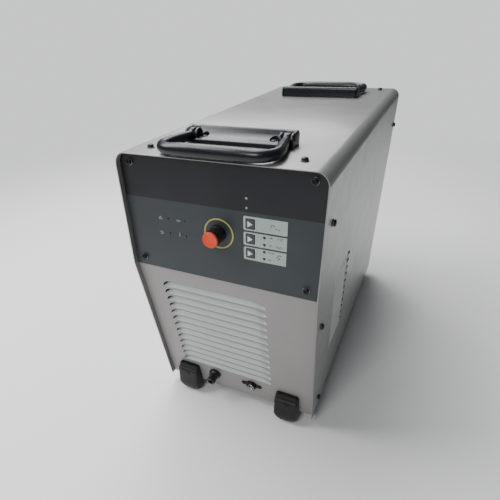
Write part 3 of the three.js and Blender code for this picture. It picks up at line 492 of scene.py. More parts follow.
# ------------------------------------------------------------------ front panel
W = HALF_W - SHEET - 0.3
TORCH, SOCKET = (-46.0, 261.0), (31.0, 261.0)
z_of = lambda s: s  # distance down the slope
s_low = (S0.z - 1.5) / CS
panel_out = [(-W, -s_low), (W, -s_low), (W, 4.0), (-W, 4.0)]
holes = [[(x0 + a, -s0 + b) for a, b in louvre_outline(l, h, 0.05)] for x0, s0, l, h in front_slots]
holes.append(ring2(TORCH[0], -TORCH[1], 8.2, 32))
holes.append(ring2(SOCKET[0], -SOCKET[1], 8.2, 32))
lower = plate("front_lower_panel", [panel_out] + holes, SHEET, on_slope(0, 0), X, -DOWN, PANEL, slot="panel_paint")
v, f = merge(*front_blades)
# front blades take the paler painted-light paint rather than the panel's own paint
make("front_louvre_blades", v, f, BLADE_LIT_PAINT, smooth=180, solid=1.1, slot="panel_paint")
zb = BEND_Z - (PANEL_Y - RECESS / CS) / math.tan(SLOPE)
up_out = [(-W, zb), (W, zb), (W, TOPZ - 2)] + arc(W - 15.7, TOPZ, 15.7, 0, 90, 8) + arc(-W + 15.7, TOPZ, 15.7, 90, 180, 8) + [(-W, TOPZ - 2)]
upper = plate("front_upper_panel", [up_out, rounded(-92, 98, 329, 432, 3)], SHEET, P(0, PANEL_Y, 0), X, Z, PANEL, slot="panel_paint")
# side flanges of the panel, seen as the inner returns at the edges
for k in (-1, 1):
    x = k * (W - 0.2)
    ring = [(PANEL_Y + 1.6, CASE_H - 20), (PANEL_Y + 1.6, zb), (slope_y(RECESS, 46) + 1.6, 46), (slope_y(RECESS, 46) + 43, 46), (PANEL_Y + 43, zb), (PANEL_Y + 43, CASE_H - 20)]
    g = loft([[P(x, a, b) for a, b in ring], [P(x - k * 1.4, a, b) for a, b in ring]])
    make("front_flange_" + ("left" if k < 0 else "right"), g[0], g[1], PANEL, slot="panel_paint")
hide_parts("front_panel")

# ------------------------------------------------------------------ control fascia
o = SHEET + 0.3 + 0.4
w, h, r = HALF_W - o, CASE_H - o, ROOF_R - o
fas = [(-w, FASCIA_Z0), (w, FASCIA_Z0)] + arc(w - r, h - r, r, 0, 90, 12) + arc(-w + r, h - r, r, 90, 180, 12)
KNOB_AT = (2.7, 367.6)
KX, KZ = 1.5, 368.0
KEY_X, KEYS_Z, KEY_W, KEY_H = 50.0, (389.5, 368.0, 346.5), 13.0, 14.5
LED_R = [(70, 373), (70, 362.5), (70, 352), (70, 341.5)]
LED_L = [(-79, 377), (-51.5, 377), (-79, 354), (-51.5, 354)]
LED_T = [(45, 424), (45, 411)]
cuts = [ring2(KX, KZ, 4.0, 24)]
for z in KEYS_Z:
    cuts.append(rounded(KEY_X - KEY_W / 2 - 0.3, KEY_X + KEY_W / 2 + 0.3, z - KEY_H / 2 - 0.3, z + KEY_H / 2 + 0.3, 0.8, 3))
for x, z in LED_R + LED_L + LED_T:
    cuts.append(ring2(x, z, 2.0, 16))
fascia = plate("fascia_plate", [fas] + cuts, 2.0, P(0, FASCIA_Y, 0), X, Z, FASCIA, slot="fascia")
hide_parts("control_fascia")


def print_on(name, outlines, material, out=0.12, body="case", slot="fascia", y=FASCIA_Y, bevel=0.0):
    return plate(name, outlines, out, P(0, y - out, 0), X, Z, material, body=body, slot=slot, bevel=bevel)


print_on("print_scale_ring", [ring2(KNOB_AT[0], KNOB_AT[1], 22.6, 72), ring2(KNOB_AT[0], KNOB_AT[1], 20.4, 72)], YELLOW)
rows = ((380.0, 400.0), (358.0, 377.5), (336.0, 355.5))
for i, (z0, z1) in enumerate(rows):
    kz = KEYS_Z[i]
    hole = [rounded(KEY_X - KEY_W / 2 - 0.5, KEY_X + KEY_W / 2 + 0.5, kz - KEY_H / 2 - 0.5, kz + KEY_H / 2 + 0.5, 0.9, 3)]
    leds = [ring2(x, z, 2.1, 16) for x, z in LED_R if z0 < z < z1]
    print_on("print_label_%d" % (i + 1), [rounded(40.2, 101, z0, z1, 2.6, 5, (1, 0, 0, 1))] + hole + leds, LABEL, 0.15)
    # light line round the key's window
    print_on("print_key_frame_%d" % (i + 1), [rounded(KEY_X - KEY_W / 2 - 1.3, KEY_X + KEY_W / 2 + 1.3, kz - KEY_H / 2 - 1.3, kz + KEY_H / 2 + 1.3, 1.6, 4)] + hole, PALE, 0.25)


def stroke(x0, z0, x1, z1, w=0.9):
    d = Vector((x1 - x0, z1 - z0)).normalized()
    q = Vector((-d.y, d.x)) * (w / 2)
    return [(x0 - q.x, z0 - q.y), (x1 - q.x, z1 - q.y), (x1 + q.x, z1 + q.y), (x0 + q.x, z0 + q.y)]


def disjoint(name, shapes, material, out=0.2, y=FASCIA_Y - 0.1, body="case"):
    geos = []
    for s in shapes:
        geos.append(loft([[P(a, y - out, b) for a, b in s], [P(a, y, b) for a, b in s]]))
    v, f = merge(*geos)
    return make(name, v, f, material, body=body, slot="fascia", smooth=30)


# small symbols beside the lamps: plain strokes and dots
disjoint("print_symbols_right", [
    stroke(78.6, 388.4, 79.2, 392.2, 0.8), stroke(79.2, 392.2, 82.6, 392.4, 0.8), stroke(82.6, 392.4, 83.2, 390.2, 0.8),
    stroke(84.6, 388.0, 87.0, 387.6, 0.9), stroke(88.2, 387.6, 91.6, 387.4, 0.9),
    stroke(76.6, 374.2, 82.0, 374.2, 0.8), stroke(79.3, 372.6, 79.3, 375.8, 0.8),
    stroke(87.8, 373.0, 90.2, 375.2, 0.8), stroke(91.4, 373.0, 95.2, 373.0, 0.8), stroke(91.4, 375.2, 95.2, 375.2, 0.8),
    stroke(76.4, 362.8, 80.4, 362.8, 1.2),
    stroke(86.6, 361.0, 88.6, 363.4, 0.8), stroke(88.6, 363.4, 90.6, 361.0, 0.8), stroke(90.6, 361.0, 92.6, 363.4, 0.8), stroke(92.6, 363.4, 95.2, 361.2, 0.8),
    stroke(75.6, 352.2, 78.6, 352.2, 1.1), stroke(80.4, 352.2, 84.0, 352.2, 1.1),
    stroke(75.6, 341.6, 80.0, 341.6, 1.0),
    stroke(87.6, 346.0, 90.4, 350.8, 1.0), stroke(90.4, 350.8, 94.4, 350.2, 1.0), stroke(90.6, 347.6, 92.4, 345.4, 1.0), stroke(89.0, 343.6, 92.4, 345.4, 0.9),
], DARKP)
disjoint("print_symbols_left", [
    stroke(-94.6, 375.6, -88.4, 375.6, 0.8), stroke(-94.6, 375.6, -91.5, 380.0, 0.8), stroke(-91.5, 380.0, -88.4, 375.6, 0.8), stroke(-91.5, 376.8, -91.5, 378.4, 0.8),
    stroke(-64.6, 377.6, -57.6, 377.6, 0.9), stroke(-63.4, 375.8, -58.8, 375.8, 0.8),
    stroke(-95.8, 356.2, -92.4, 353.2, 0.9), stroke(-92.4, 356.2, -89.2, 353.2, 0.9), stroke(-94.6, 351.8, -90.4, 351.8, 0.8),
    stroke(-61.2, 351.6, -61.2, 358.4, 1.0), stroke(-62.8, 353.2, -59.6, 353.2, 0.8),
], GREYP)
for nm, pts, mt in (("lamps_right", LED_R, LENS), ("lamps_left", LED_L, LENS), ("lamps_top", LED_T, LENSP)):
    geo = merge(*[lathe_geo(P(x, FASCIA_Y + 5, z), -Y, [(0, 0), (1.75, 0), (1.75, 5.0), (1.6, 5.5), (1.2, 5.9), (0.6, 6.1), (0, 6.15)], 20) for x, z in pts])
    make(nm, geo[0], geo[1], mt, smooth=50, slot="lens")
for nd in ("lamp_block_left", "lamp_block_right"):
    pass

# ------------------------------------------------------------------ keys
for i, z in enumerate(KEYS_Z):
    b = "push_key_%d" % (i + 1)
    w2, h2 = KEY_W / 2, KEY_H / 2
    rings = []
    for d, e in ((4.3, -0.0), (3.4, 0.0), (0.0, 0.0), (-1.0, 0.0), (-1.3, 0.25), (-1.4, 0.7)):
        rr = rounded(KEY_X - w2 + e, KEY_X + w2 - e, z - h2 + e, z + h2 - e, 0.9, 3)
        rings.append([P(a, FASCIA_Y + d, c) for a, c in rr])
    v, f = loft(rings)
    stem = lathe_geo(P(KEY_X, FASCIA_Y + 2, z), Y, [(0, 0), (2.5, 0), (2.5, 14), (0, 14)], 20)
    back = loft([[P(a, FASCIA_Y + d, c) for a, c in rounded(KEY_X - w2 - 1, KEY_X + w2 + 1, z - h2 - 1, z + h2 + 1, 0.8, 3)] for d in (3.3, 4.4)])
    v, f = merge((v, f), stem, back)
    key = make("key_cap_%d" % (i + 1), v, f, KEYM, body=b, slot="key_plastic", smooth=40)
    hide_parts("key_%d" % (i + 1))
    tri = [(KEY_X - 3.4, z - 4.3), (KEY_X + 3.9, z), (KEY_X - 3.4, z + 4.3)]
    disjoint("key_mark_%d" % (i + 1), [tri], PALE, 0.12, FASCIA_Y - 1.37, body=b)

# ------------------------------------------------------------------ current knob
KP = P(KX, FASCIA_Y, KZ)
prof = [(12.2, 0.5), (12.5, 0.8), (12.5, 4.3), (12.1, 5.2), (11.75, 6.0), (11.7, 8.0), (11.6, 14.0), (11.5, 20.6), (11.2, 21.6), (10.6, 22.0)]
u, vv, ww = X, Z, -Y
rings, SEG = [], 144
for j, (r, l) in enumerate(prof):
    row = []
    for k in range(SEG):
        t = 2 * math.pi * k / SEG
        g = 0.0
        if 3 < j < 9:
            g = 0.5 * max(0.0, math.cos(24 * t)) ** 0.8 * (1.0 if 4 < j < 8 else 0.6)
        q = (r - g) / 1000.0
        row.append(KP + u * (q * math.cos(t)) + vv * (q * math.sin(t)) + ww * (l / 1000.0))
    rings.append(row)
kb = make("knob_grip", *loft(rings), KNOB, body="current_knob", slot="black_plastic", smooth=45)
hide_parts("knob_body")
cap = lathe("knob_face", KP, -Y, [(0, 20.2), (10.0, 20.2), (10.6, 21.8), (11.3, 22.2), (11.45, 22.8), (11.4, 23.8), (11.0, 24.5), (10.2, 24.9), (9.4, 24.85), (8.8, 24.5), (8.2, 24.35), (4.0, 24.3), (0, 24.3)],
            ORANGE, seg=72, body="current_knob", slot="orange_plastic", smooth=60)
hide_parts("knob_cap")

# ------------------------------------------------------------------ screws
def cross_screw():
    """Pan head screw about the origin, head along +Z, with a cross recess, in millimetres."""
    prof = [(0, -7.5), (1.6, -7.5), (2.0, -6.8), (2.0, 2.2), (4.3, 2.2), (4.5, 2.45), (4.5, 3.1), (4.35, 3.7), (3.9, 4.3), (3.1, 4.7), (2.0, 4.92), (0, 5.0)]
    v, f = lathe_geo(Vector((0, 0, 0)), Vector((0, 0, 1)), prof, 32)
    me = bpy.data.meshes.new("screw_proto")
    me.from_pydata([tuple(q) for q in v], [], f)
    ob = bpy.data.objects.new("screw_proto", me)
    bpy.context.collection.objects.link(ob)
    cv, cf = [], []
    w, l = 0.55 / 1000, 2.5 / 1000
    for a in (0, 1):
        hx, hy = (l, w) if a else (w, l)
        ring0 = [Vector((x * 0.55 if a else x * 0.8, y * 0.8 if a else y * 0.55, 0.0031)) for x, y in ((-hx, -hy), (hx, -hy), (hx, hy), (-hx, hy))]
        ring1 = [Vector((x, y, 0.0058)) for x, y in ((-hx, -hy), (hx, -hy), (hx, hy), (-hx, hy))]
        g = loft([ring0, ring1])
        mc = bpy.data.meshes.new("screw_cut")
        mc.from_pydata([tuple(q) for q in g[0]], [], g[1])
        bm = bmesh.new(); bm.from_mesh(mc); bmesh.ops.recalc_face_normals(bm, faces=bm.faces); bm.to_mesh(mc); bm.free()
        oc = bpy.data.objects.new("screw_cut", mc)
        bpy.context.collection.objects.link(oc)
        bm = bmesh.new(); bm.from_mesh(ob.data); bmesh.ops.recalc_face_normals(bm, faces=bm.faces); bm.to_mesh(ob.data); bm.free()
        m = ob.modifiers.new("c", "BOOLEAN")
        m.operation, m.object, m.solver = "DIFFERENCE", oc, "EXACT"
        bake_mods(ob)
        bpy.data.objects.remove(oc)
    geo = ([q.co.copy() for q in ob.data.vertices], [tuple(p.vertices) for p in ob.data.polygons])
    bpy.data.objects.remove(ob)
    return geo


SV, SF = cross_screw()


def screw_geo(p, n, turn=0.0, scale=1.0):
    u, v, w = frame_of(n)
    c, s = math.cos(turn), math.sin(turn)
    a, b = u * c + v * s, v * c - u * s
    return [p + (a * q.x + b * q.y + w * q.z) * scale for q in SV], SF


def washers(name, p, n, turn, scale=1.0):
    """Flat washer and split spring washer under a screw's head."""
    flat = lathe_geo(p, n, [(a * scale, b * scale) for a, b in [(2.4, 0.3), (5.1, 0.3), (5.3, 0.45), (5.3, 1.15), (5.1, 1.3), (2.4, 1.3), (2.4, 0.3)]], 36)
    u, v, w = frame_of(n)
    rings = []
    for k in range(31):
        t = turn + math.radians(6 + 348 * k / 30)
        d = u * math.cos(t) + v * math.sin(t)
        lift = (1.32 + 0.1 * k / 30) * scale
        rings.append([p + d * (r * scale / 1000) + w * ((lift + z * scale) / 1000) for r, z in ((2.6, 0), (4.1, 0), (4.1, 0.82), (2.6, 0.82))])
    spring = loft(rings)
    v_, f_ = merge(flat, spring)
    make(name, v_, f_, STEEL, slot="black_screw", smooth=38)


def screw(name, p, n, turn, material=SCREW, node=None, slot="black_screw", scale=1.0, washer=True):
    v, f = screw_geo(p, n, turn, scale)
    ob = make(name, v, f, material, slot=slot, smooth=38)
    if washer:
        washers(name + "_washers", p, n, turn * 2.0, scale)
    if node:
        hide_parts(node)
    return ob


roof_z = CASE_H
cover_screws = [
    ("roof_front_left", P(-110, 33, roof_z), Z, 0.3), ("roof_front_right", P(110, 33, roof_z), Z, 0.9),
    ("roof_rear_left", P(-110, 622, roof_z), Z, 0.5), ("roof_rear_right", P(110, 622, roof_z), Z, 1.1),
]
for k, side in ((1, "right"), (-1, "left")):
    for nm, y, z, t in (("upper_front", 37, 395, 0.2), ("middle_front", 37, 229, 0.7), ("lower_front", 82, 31, 1.2), ("rear", 632, 395, 0.4)):
        cover_screws.append(("%s_%s" % (side, nm), P(k * HALF_W, y, z), X * k, t))
for nm, p, nrm, t in cover_screws:
    screw("screw_" + nm, p, nrm, t, node="cover_screw_" + nm)
for nm, x, z, t in (("upper_left", -131, 455, 0.4), ("upper_right", 131, 455, 1.0), ("lower_left", -131, 306, 0.1), ("lower_right", 131, 306, 0.6)):
    screw("screw_fascia_" + nm, P(x, FASCIA_Y, z), -Y, t, node="fascia_screw_" + nm)

# ------------------------------------------------------------------ handles
def handle(prefix, grip_y, s):
    """s is +1 where the pivot lies behind the grip, -1 where it lies before it."""
    py = grip_y + s * HANDLE_PIVOT
    H0 = CASE_H
    G = lambda x, d, z: P(x, py + s * d, H0 + z)
    body = "front_bail" if s > 0 else "rear_bail"
    # middle block: a low front edge, a hollow face and a rounded ridge behind the pivots
    ridge = [(20.0, 0.3), (20.0, 14.0), (19.6, 16.2), (18.6, 18.0), (17.0, 19.1), (15.0, 19.5), (13.4, 19.2), (12.2, 18.4)]
    face = [(11.0, 17.0), (9.6, 15.0), (7.6, 12.9), (5.0, 11.1), (1.5, 9.6), (-3.0, 8.2), (-7.5, 7.1), (-11.0, 6.3), (-12.6, 5.8), (-13.3, 5.1), (-13.5, 4.3), (-13.5, 0.3)]
    xs = [-65.0, -64.7, -64.0, -58.4, -45.6, -20.0, 0.0, 20.0, 45.6, 58.4, 64.0, 64.7, 65.0]
    rings = []
    for x in xs:
        e = {65.0: 0.8, 64.7: 0.3}.get(abs(x), 0.0)
        rings.append([G(x, d, max(0.3, z - e) if z > 1 and d < 10 else z) for d, z in ridge + face])
    block = make(prefix + "_handle_block", *loft(rings), HANDLE, slot="handle_plastic", smooth=42)
    for x in (-52.0, 52.0):
        cut = make("pocket", *lathe_geo(G(x, 0, 0), Z, [(0, 4.0), (6.2, 4.0), (6.2, 9.0), (7.2, 14.0), (9.0, 24.0), (0, 24.0)], 36), HANDLE, body=None, smooth=42)
        m = block.modifiers.new("c", "BOOLEAN")
        m.operation, m.object, m.solver = "DIFFERENCE", cut, "EXACT"
        bake_mods(block)
        bpy.data.objects.remove(cut)
    finish_mesh(block.data, 42)
    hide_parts(prefix + "_handle_base")
    geo = []
    # end lugs round the pivots, the outer ones closed behind by the ridge
    for k in (-1, 1):
        lug = [(-9.0, 0.3)] + [(9.0 * math.cos(math.radians(a)), GRIP_H + 9.0 * math.sin(math.radians(a))) for a in range(180, -1, -10)] + [(9.0, 0.3)]
        wall = [(-9.0, 0.3)] + [(9.0 * math.cos(math.radians(a)), GRIP_H + 9.0 * math.sin(math.radians(a))) for a in range(180, 79, -10)] + [(6.0, 18.5), (11.0, 19.0), (15.0, 19.5), (17.0, 19.1), (18.6, 18.0), (19.6, 16.2), (20.0, 14.0), (20.0, 0.3)]
        for pts_, x0, x1 in ((lug, k * 60.0, k * 65.2), (wall, k * 76.4, k * 81.0)):
            a, b = sorted((x0, x1))
            rr = []
            for x, e in ((a, 0.8), (a + 0.3, 0.35), (a + 0.9, 0.0), (b - 1.6, 0.0), (b - 0.6, 0.6), (b, 1.6)) if k > 0 else ((a, 1.6), (a + 0.6, 0.6), (a + 1.6, 0.0), (b - 0.9, 0.0), (b - 0.3, 0.35), (b, 0.8)):
                rr.append([G(x, d * (1 - e / 24), max(0.3, z - e)) for d, z in pts_])
            geo.append(loft(rr))
        back = [(10.2, 0.3), (10.2, 17.0), (11.0, 18.2)] + [(15.0, 19.5), (17.0, 19.1), (18.6, 18.0), (19.6, 16.2), (20.0, 14.0), (20.0, 0.3)]
        a, b = sorted((k * 64.5, k * 78.5))
        geo.append(loft([[G(x, d, z) for d, z in back] for x in (a, b)]))
        geo.append(lathe_geo(G(k * 61, 0, GRIP_H), X * k, [(0, 0), (2.9, 0), (2.9, 17.0), (0, 17.0)], 24))
    v, f = merge(*geo)
    make(prefix + "_handle_lugs", v, f, HANDLE, slot="handle_plastic", smooth=42)
    for k, nm in ((-1, "left"), (1, "right")):
        screw(prefix + "_base_screw_" + nm, G(52.0 * k, 0, 4.1), Z, 0.4 + k * 0.3, node=prefix + "_handle_screw_" + nm, washer=False)
    # bail
    L, R = -HANDLE_PIVOT, 22.0
    pts, rad = [], []
    def add(x, d, r):
        pts.append(G(x, d, GRIP_H))
        rad.append(r)
    side = []
    for i in range(9):
        t = i / 8.0
        side.append((EYE_X + (ARM_X - EYE_X) * (3 * t * t - 2 * t ** 3) * 1.0, -3 + (L + R + 3) * t, 6.1 + 1.1 * min(1, t * 2.2)))
    for i in range(1, 11):
        a = math.radians(9.0 * i)
        side.append((ARM_X - R + R * math.cos(a), L + R - R * math.sin(a), 7.2 + 0.7 * i / 10))
    for i in range(1, 9):
        t = i / 8.0
        x = (ARM_X - R) * (1 - t)
        side.append((x, L, 7.9 + 1.1 * min(1.0, t * 3.0) ** 0.7))
    for x, d, r in side:
        add(-x, d, r)
    for x, d, r in reversed(side[:-1]):
        add(x, d, r)
    geo = [tube_geo(pts, rad, 32, Z)]
    for k in (-1, 1):
        a, b = sorted((k * 66.4, k * 75.8))
        geo.append(lathe_geo(G(a, 0, GRIP_H), X, [(3.4, 0), (8.4, 0), (9.0, 0.6), (9.0, b - a - 0.6), (8.4, b - a), (3.4, b - a), (3.4, 0)], 36))
    v, f = merge(*geo)
    bail = make(prefix + "_handle_loop", v, f, HANDLE, body=body, slot="handle_plastic", smooth=50)
    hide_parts(prefix + "_handle_bail")


handle("front", 2.0, 1)
handle("rear", 603.0, -1)

# ------------------------------------------------------------------ feet
def foot(name, cx, front):
    w = 21.5
    if front:
        sec = [(slope_y(RECESS - 0.3, 1.1), 1.1), (63.4, 1.1), (63.6, 2.9), (75, 2.9), (75, -8), (73.5, -13), (71, -17), (67, -20), (48, -20), (44.6, -18), (41.8, -14.6), (40, -10), (38.8, -5), (38.1, 1), (slope_y(RECESS, 10) - 20.8, 10),
               (slope_y(RECESS, 22) - 18.4, 22), (slope_y(RECESS, 31) - 16.4, 31), (slope_y(RECESS, 35) - 15.2, 35), (slope_y(RECESS, 37) - 13.6, 37), (slope_y(RECESS, 37.8) - 11.4, 37.8), (slope_y(RECESS, 38) - 10.2, 38.1), (slope_y(RECESS, 39) - 9.4, 39.4), (slope_y(RECESS, 44) - 8.2, 44), (slope_y(RECESS, 46.4) - 6.6, 46.4), (slope_y(RECESS - 0.3, 47), 47)]
    else:
        e = REAR_Y + 0.3
        sec = [(e, 1.1), (641.4, 1.1), (641.2, 2.9), (622, 2.9), (622, -8), (623.5, -13), (626, -17), (630, -20), (649, -20), (652.4, -18), (655.2, -14.6), (657, -10), (658.2, -5), (658.9, 1), (659, 12), (659, 22), (657.6, 31), (656.6, 35), (655.2, 37), (653.4, 37.8), (652.2, 38.1), (651.4, 39.4), (650.6, 44), (649.4, 46.4), (e, 47)]
    xs = [-w, -w + 0.15, -w + 0.5, -w + 1.1, -w + 2, -w + 3.2, -w + 4.8, -w + 7, -w + 9.5, -w + 12.5, -5, 0, 5, w - 12.5, w - 9.5, w - 7, w - 4.8, w - 3.2, w - 2, w - 1.1, w - 0.5, w - 0.15, w]
    face_y = REAR_Y if not front else None
    rings = []
    for x in xs:
        t = max(0.0, (abs(x) - 5.0) / (w - 5.0))
        low = -20.0 + 20.0 * (1 - math.sqrt(max(0.0, 1 - t ** 2.3)))     # lower edge, rounded in the front view
        top = 47.0 - 4.5 * max(0.0, (abs(x) - (w - 4.5)) / 4.5) ** 2
        ring = []
        for y, z in sec:
            if z < 0:
                z = z * (low / -20.0)
            if z > 40:
                z = 40 + (z - 40) * (top - 40) / 7.0
            c = max(0.0, (abs(x) - (w - 4.0)) / 4.0)
            inset = 3.2 * (1 - math.sqrt(max(0.0, 1 - c * c)))
            wall = slope_y(RECESS - 0.3, max(z, 1.1)) if front else REAR_Y + 0.3
            if front and y < wall - 0.5:
                y = min(wall - 0.2, y + inset)
            if not front and y > wall + 0.5:
                y = max(wall + 0.2, y - inset)
            ring.append(P(cx + x, y, z))
        rings.append(ring)
    v, f = loft(rings)
    ob = make(name + "_moulding", v, f, RUBBER, slot="rubber", smooth=48)
    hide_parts(name)
    # bolt set in the upright
    if front:
        p, nrm = on_slope(cx, 271, 16.9), OUT
    else:
        p, nrm = P(cx, REAR_Y + 13.3, 28), Y
    u, vv, ww = frame_of(nrm)
    geo = merge(lathe_geo(p, nrm, [(4.0, -6), (4.0, 0.2), (4.4, 0.6), (5.4, 0.7), (6.0, 0.3), (6.2, -1.5), (4.0, -6)], 32),
                lathe_geo(p, nrm, [(0, -5.5), (3.7, -5.5), (3.7, -2.2), (2.9, -1.4), (0, -1.2)], 6))
    make(name + "_bolt_seat", geo[0], geo[1], RUBBER, slot="rubber", smooth=40)


foot("foot_front_left", -102, True)
foot("foot_front_right", 102, True)
foot("foot_rear_left", -102, False)
foot("foot_rear_right", 102, False)

# ------------------------------------------------------------------ torch outlet and control socket
tp = on_slope(TORCH[0], TORCH[1])
prof = [(4.6, -16), (8.0, -16), (8.0, 0.3), (11.0, 0.3), (11.5, 0.7), (11.6, 1.5), (11.6, 4.6), (11.2, 5.6), (10.5, 7.0), (10.2, 7.9), (8.5, 8.1)]
l = 8.6
while l < 20.0:
    prof += [(8.0, l), (8.0, l + 0.5), (8.45, l + 0.9), (8.45, l + 1.5)]
    l += 1.9
prof += [(8.0, 21.0), (7.9, 22.2), (7.4, 22.9), (6.2, 23.0), (5.2, 22.8), (4.6, 22.2), (4.6, -16)]
torch = lathe("torch_lead_outlet", tp, OUT, prof, BLACK, seg=40, slot="black_plastic", smooth=40)
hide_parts("torch_outlet")
sp = on_slope(SOCKET[0], SOCKET[1])
shell = lathe_geo(sp, OUT, [(6.6, -12), (8, -12), (8, 0.3), (9.3, 0.3), (9.6, 0.8), (9.6, 3.2), (9.3, 3.6), (9.6, 4.0), (9.6, 5.6), (9.3, 6.3), (8.7, 6.8), (7.8, 6.8), (7.4, 6.3), (7.4, -2), (6.6, -2), (6.6, -12)], 48)
# shell painted dark as a reflection stand-in; the socket itself is nickel
sh = make("control_socket_shell", *shell, SOCKET_REFLECTION_DARK, slot="chrome", smooth=40)
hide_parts("socket_shell")
ears = arc(16, 0, 4.4, -58, 58, 8) + arc(0, 0, 10.9, 30, 150, 12) + arc(-16, 0, 4.4, 122, 238, 8) + arc(0, 0, 10.9, 210, 330, 12)
# flange ears also painted dark as a reflection stand-in
plate("control_socket_flange", [ears, ring2(0, 0, 8.0, 32), ring2(16, 0, 1.9, 14), ring2(-16, 0, 1.9, 14)], 1.4, sp + OUT * 0.0017, X, -DOWN, SOCKET_REFLECTION_DARK, bevel=0.25, slot="chrome")
make("control_socket_lining", *lathe_geo(sp, OUT, [(6.5, -1.8), (7.35, -1.8), (7.35, 6.4), (7.1, 6.75), (6.8, 6.6), (6.5, 6.0), (6.5, -1.8)], 48), CHROME, slot="chrome", smooth=40)
ins = lathe_geo(sp, OUT, [(0, -14), (6.2, -14), (6.2, -0.9), (5.8, -0.5), (1.6, -0.5), (1.3, -0.9), (0, -0.9)], 40)
io = make("control_socket_insert", *ins, PALEP, slot="black_plastic", smooth=40)
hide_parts("socket_insert")
pins = []
for i in range(6):
    a = i * math.pi / 3
    q = sp + X * (0.0036 * math.cos(a)) + DOWN * (0.0036 * math.sin(a))
    pins.append(lathe_geo(q, OUT, [(0, -1.5), (0.7, -1.5), (0.7, 2.7), (0.45, 3.2), (0, 3.3)], 14))
make("control_socket_pins", *merge(*pins), CHROME, slot="chrome", smooth=40)
for k in (-1, 1):
    screw("control_socket_screw_" + ("left" if k < 0 else "right"), sp + X * (0.016 * k) + OUT * 0.0017, OUT, 0.5, material=SCREW, scale=0.42, washer=False)

# ------------------------------------------------------------------ rear side
FAN_Z, FAN_R, BRX, BRZ, GLAND, GAS = 216.0, 80.0, -83.0, 392.0, (84.0, 392.0), (104.0, 62.0)
w = HALF_W - SHEET - 0.3
rear_out = [(-w, 1.5), (w, 1.5)] + arc(w - 15.7, TOPZ, 15.7, 0, 90, 8) + arc(-w + 15.7, TOPZ, 15.7, 90, 180, 8)
mirror = lambda o: [(-a, b) for a, b in o]
cuts = [ring2(0, FAN_Z, FAN_R - 2, 64), rounded(BRX - 27.5, BRX + 27.5, BRZ - 23, BRZ + 23, 1.0, 2), ring2(*GLAND, 12.4, 32), ring2(*GAS, 6.9, 24)]
rear = plate("rear_cover_panel", [mirror(rear_out)] + [mirror(c) for c in cuts], SHEET, P(0, REAR_Y, 0), -X, Z, PANEL, slot="panel_paint")
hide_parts("rear_panel")
for k in (-1, 1):
    x = k * (w - 0.2)
    ring = [(REAR_Y - 1.7, CASE_H - 20), (REAR_Y - 1.7, 46), (REAR_Y - 43, 46), (REAR_Y - 43, CASE_H - 20)]
    g = loft([[P(x, a, b) for a, b in ring], [P(x - k * 1.4, a, b) for a, b in ring]])
    make("rear_flange_" + ("left" if k < 0 else "right"), g[0], g[1], PANEL, slot="panel_paint")
# fan guard of round wire
geos = []
gy = REAR_Y + 2.6
def ring_geo(r, wire, y, n=72, m=12):
    rings = []
    for i in range(n):
        t = 2 * math.pi * i / n
        row = []
        for j in range(m):
            q = 2 * math.pi * j / m
            rr = r + wire * math.cos(q)
            row.append(P(rr * math.cos(t), y + wire * math.sin(q), FAN_Z + rr * math.sin(t)))
        rings.append(row)
    return loft(rings, cap=False, close=True)
for r in (22, 32.5, 43, 53.5, 64, 74, 83):
    geos.append(ring_geo(r, 1.15, gy + 1.0))
for i in range(4):
    a = i * math.pi / 2 + math.pi / 4
    c, s = math.cos(a), math.sin(a)
    geos.append(lathe_geo(P(12 * c, gy - 0.6, FAN_Z + 12 * s), Vector((c, 0, s)), [(0, 0), (1.5, 0), (1.5, 92), (0, 92)], 12))
    geos.append(lathe_geo(P(107.48 * c, REAR_Y + 0.3, FAN_Z + 107.48 * s), Y, [(2.6, 0), (4.6, 0), (4.8, 0.6), (4.8, 2.4), (4.4, 3.0), (2.6, 3.0), (2.6, 0)], 28))
    geos.append(lathe_geo(P(0, gy - 0.6, FAN_Z), Y, [(0, -0.4), (12.6, -0.4), (13.2, 0.4), (12.6, 1.2), (0, 1.2)], 40))
guard = make("fan_guard_wire", *merge(*geos), WIRE, slot="guard_wire", smooth=50)
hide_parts("fan_guard")
for i in range(4):
    a = i * math.pi / 2 + math.pi / 4
    screw("fan_guard_screw_%d" % (i + 1), P(107.48 * math.cos(a), REAR_Y + 3.2, FAN_Z + 107.48 * math.sin(a)), Y, 0.3 * i, scale=0.5, washer=False)
# rotor: hub and seven twisted blades
y0r = 602.0
y1r = REAR_Y - SHEET - 0.3 - 6
hub = lathe_geo(P(0, y0r, FAN_Z), Y, [(5.6, 0), (31.2, 0), (32, 0.8), (32, y1r - y0r - 4), (30.5, y1r - y0r - 1.4), (28, y1r - y0r - 0.2), (0, y1r - y0r - 0.2)], 56)
geos = [hub]
for i in range(7):
    a0 = 2 * math.pi * i / 7
    rows = []
    for j in range(9):
        r = 30 + 47 * j / 8.0
        tw = math.radians(48 - 21 * j / 8.0)
        row = []
        for k in range(9):
            q = (k / 8.0 - 0.5) * 33
            dy = -q * math.cos(tw) * 0.86
            dt = q * math.sin(tw) + 5.0 * (0.25 - (k / 8.0 - 0.5) ** 2) * 2 + 5.0 * (j / 8.0) ** 2
            a = a0 + dt / r
            row.append(P(r * math.cos(a), (y0r + y1r) / 2 + dy, FAN_Z + r * math.sin(a)))
        rows.append(row)
    v = [q for row in rows for q in row]
    f = [(j * 9 + k, j * 9 + k + 1, (j + 1) * 9 + k + 1, (j + 1) * 9 + k) for j in range(8) for k in range(8)]
    geos.append((v, f))
blade_v, blade_f = merge(*geos[1:])
rot = make("fan_rotor_blades", blade_v, blade_f, BLACK, body="fan_blades", slot="black_plastic", smooth=180, solid=1.8)
make("fan_rotor_hub", *hub, BLACK, body="fan_blades", slot="black_plastic", smooth=45)
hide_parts("fan_rotor")
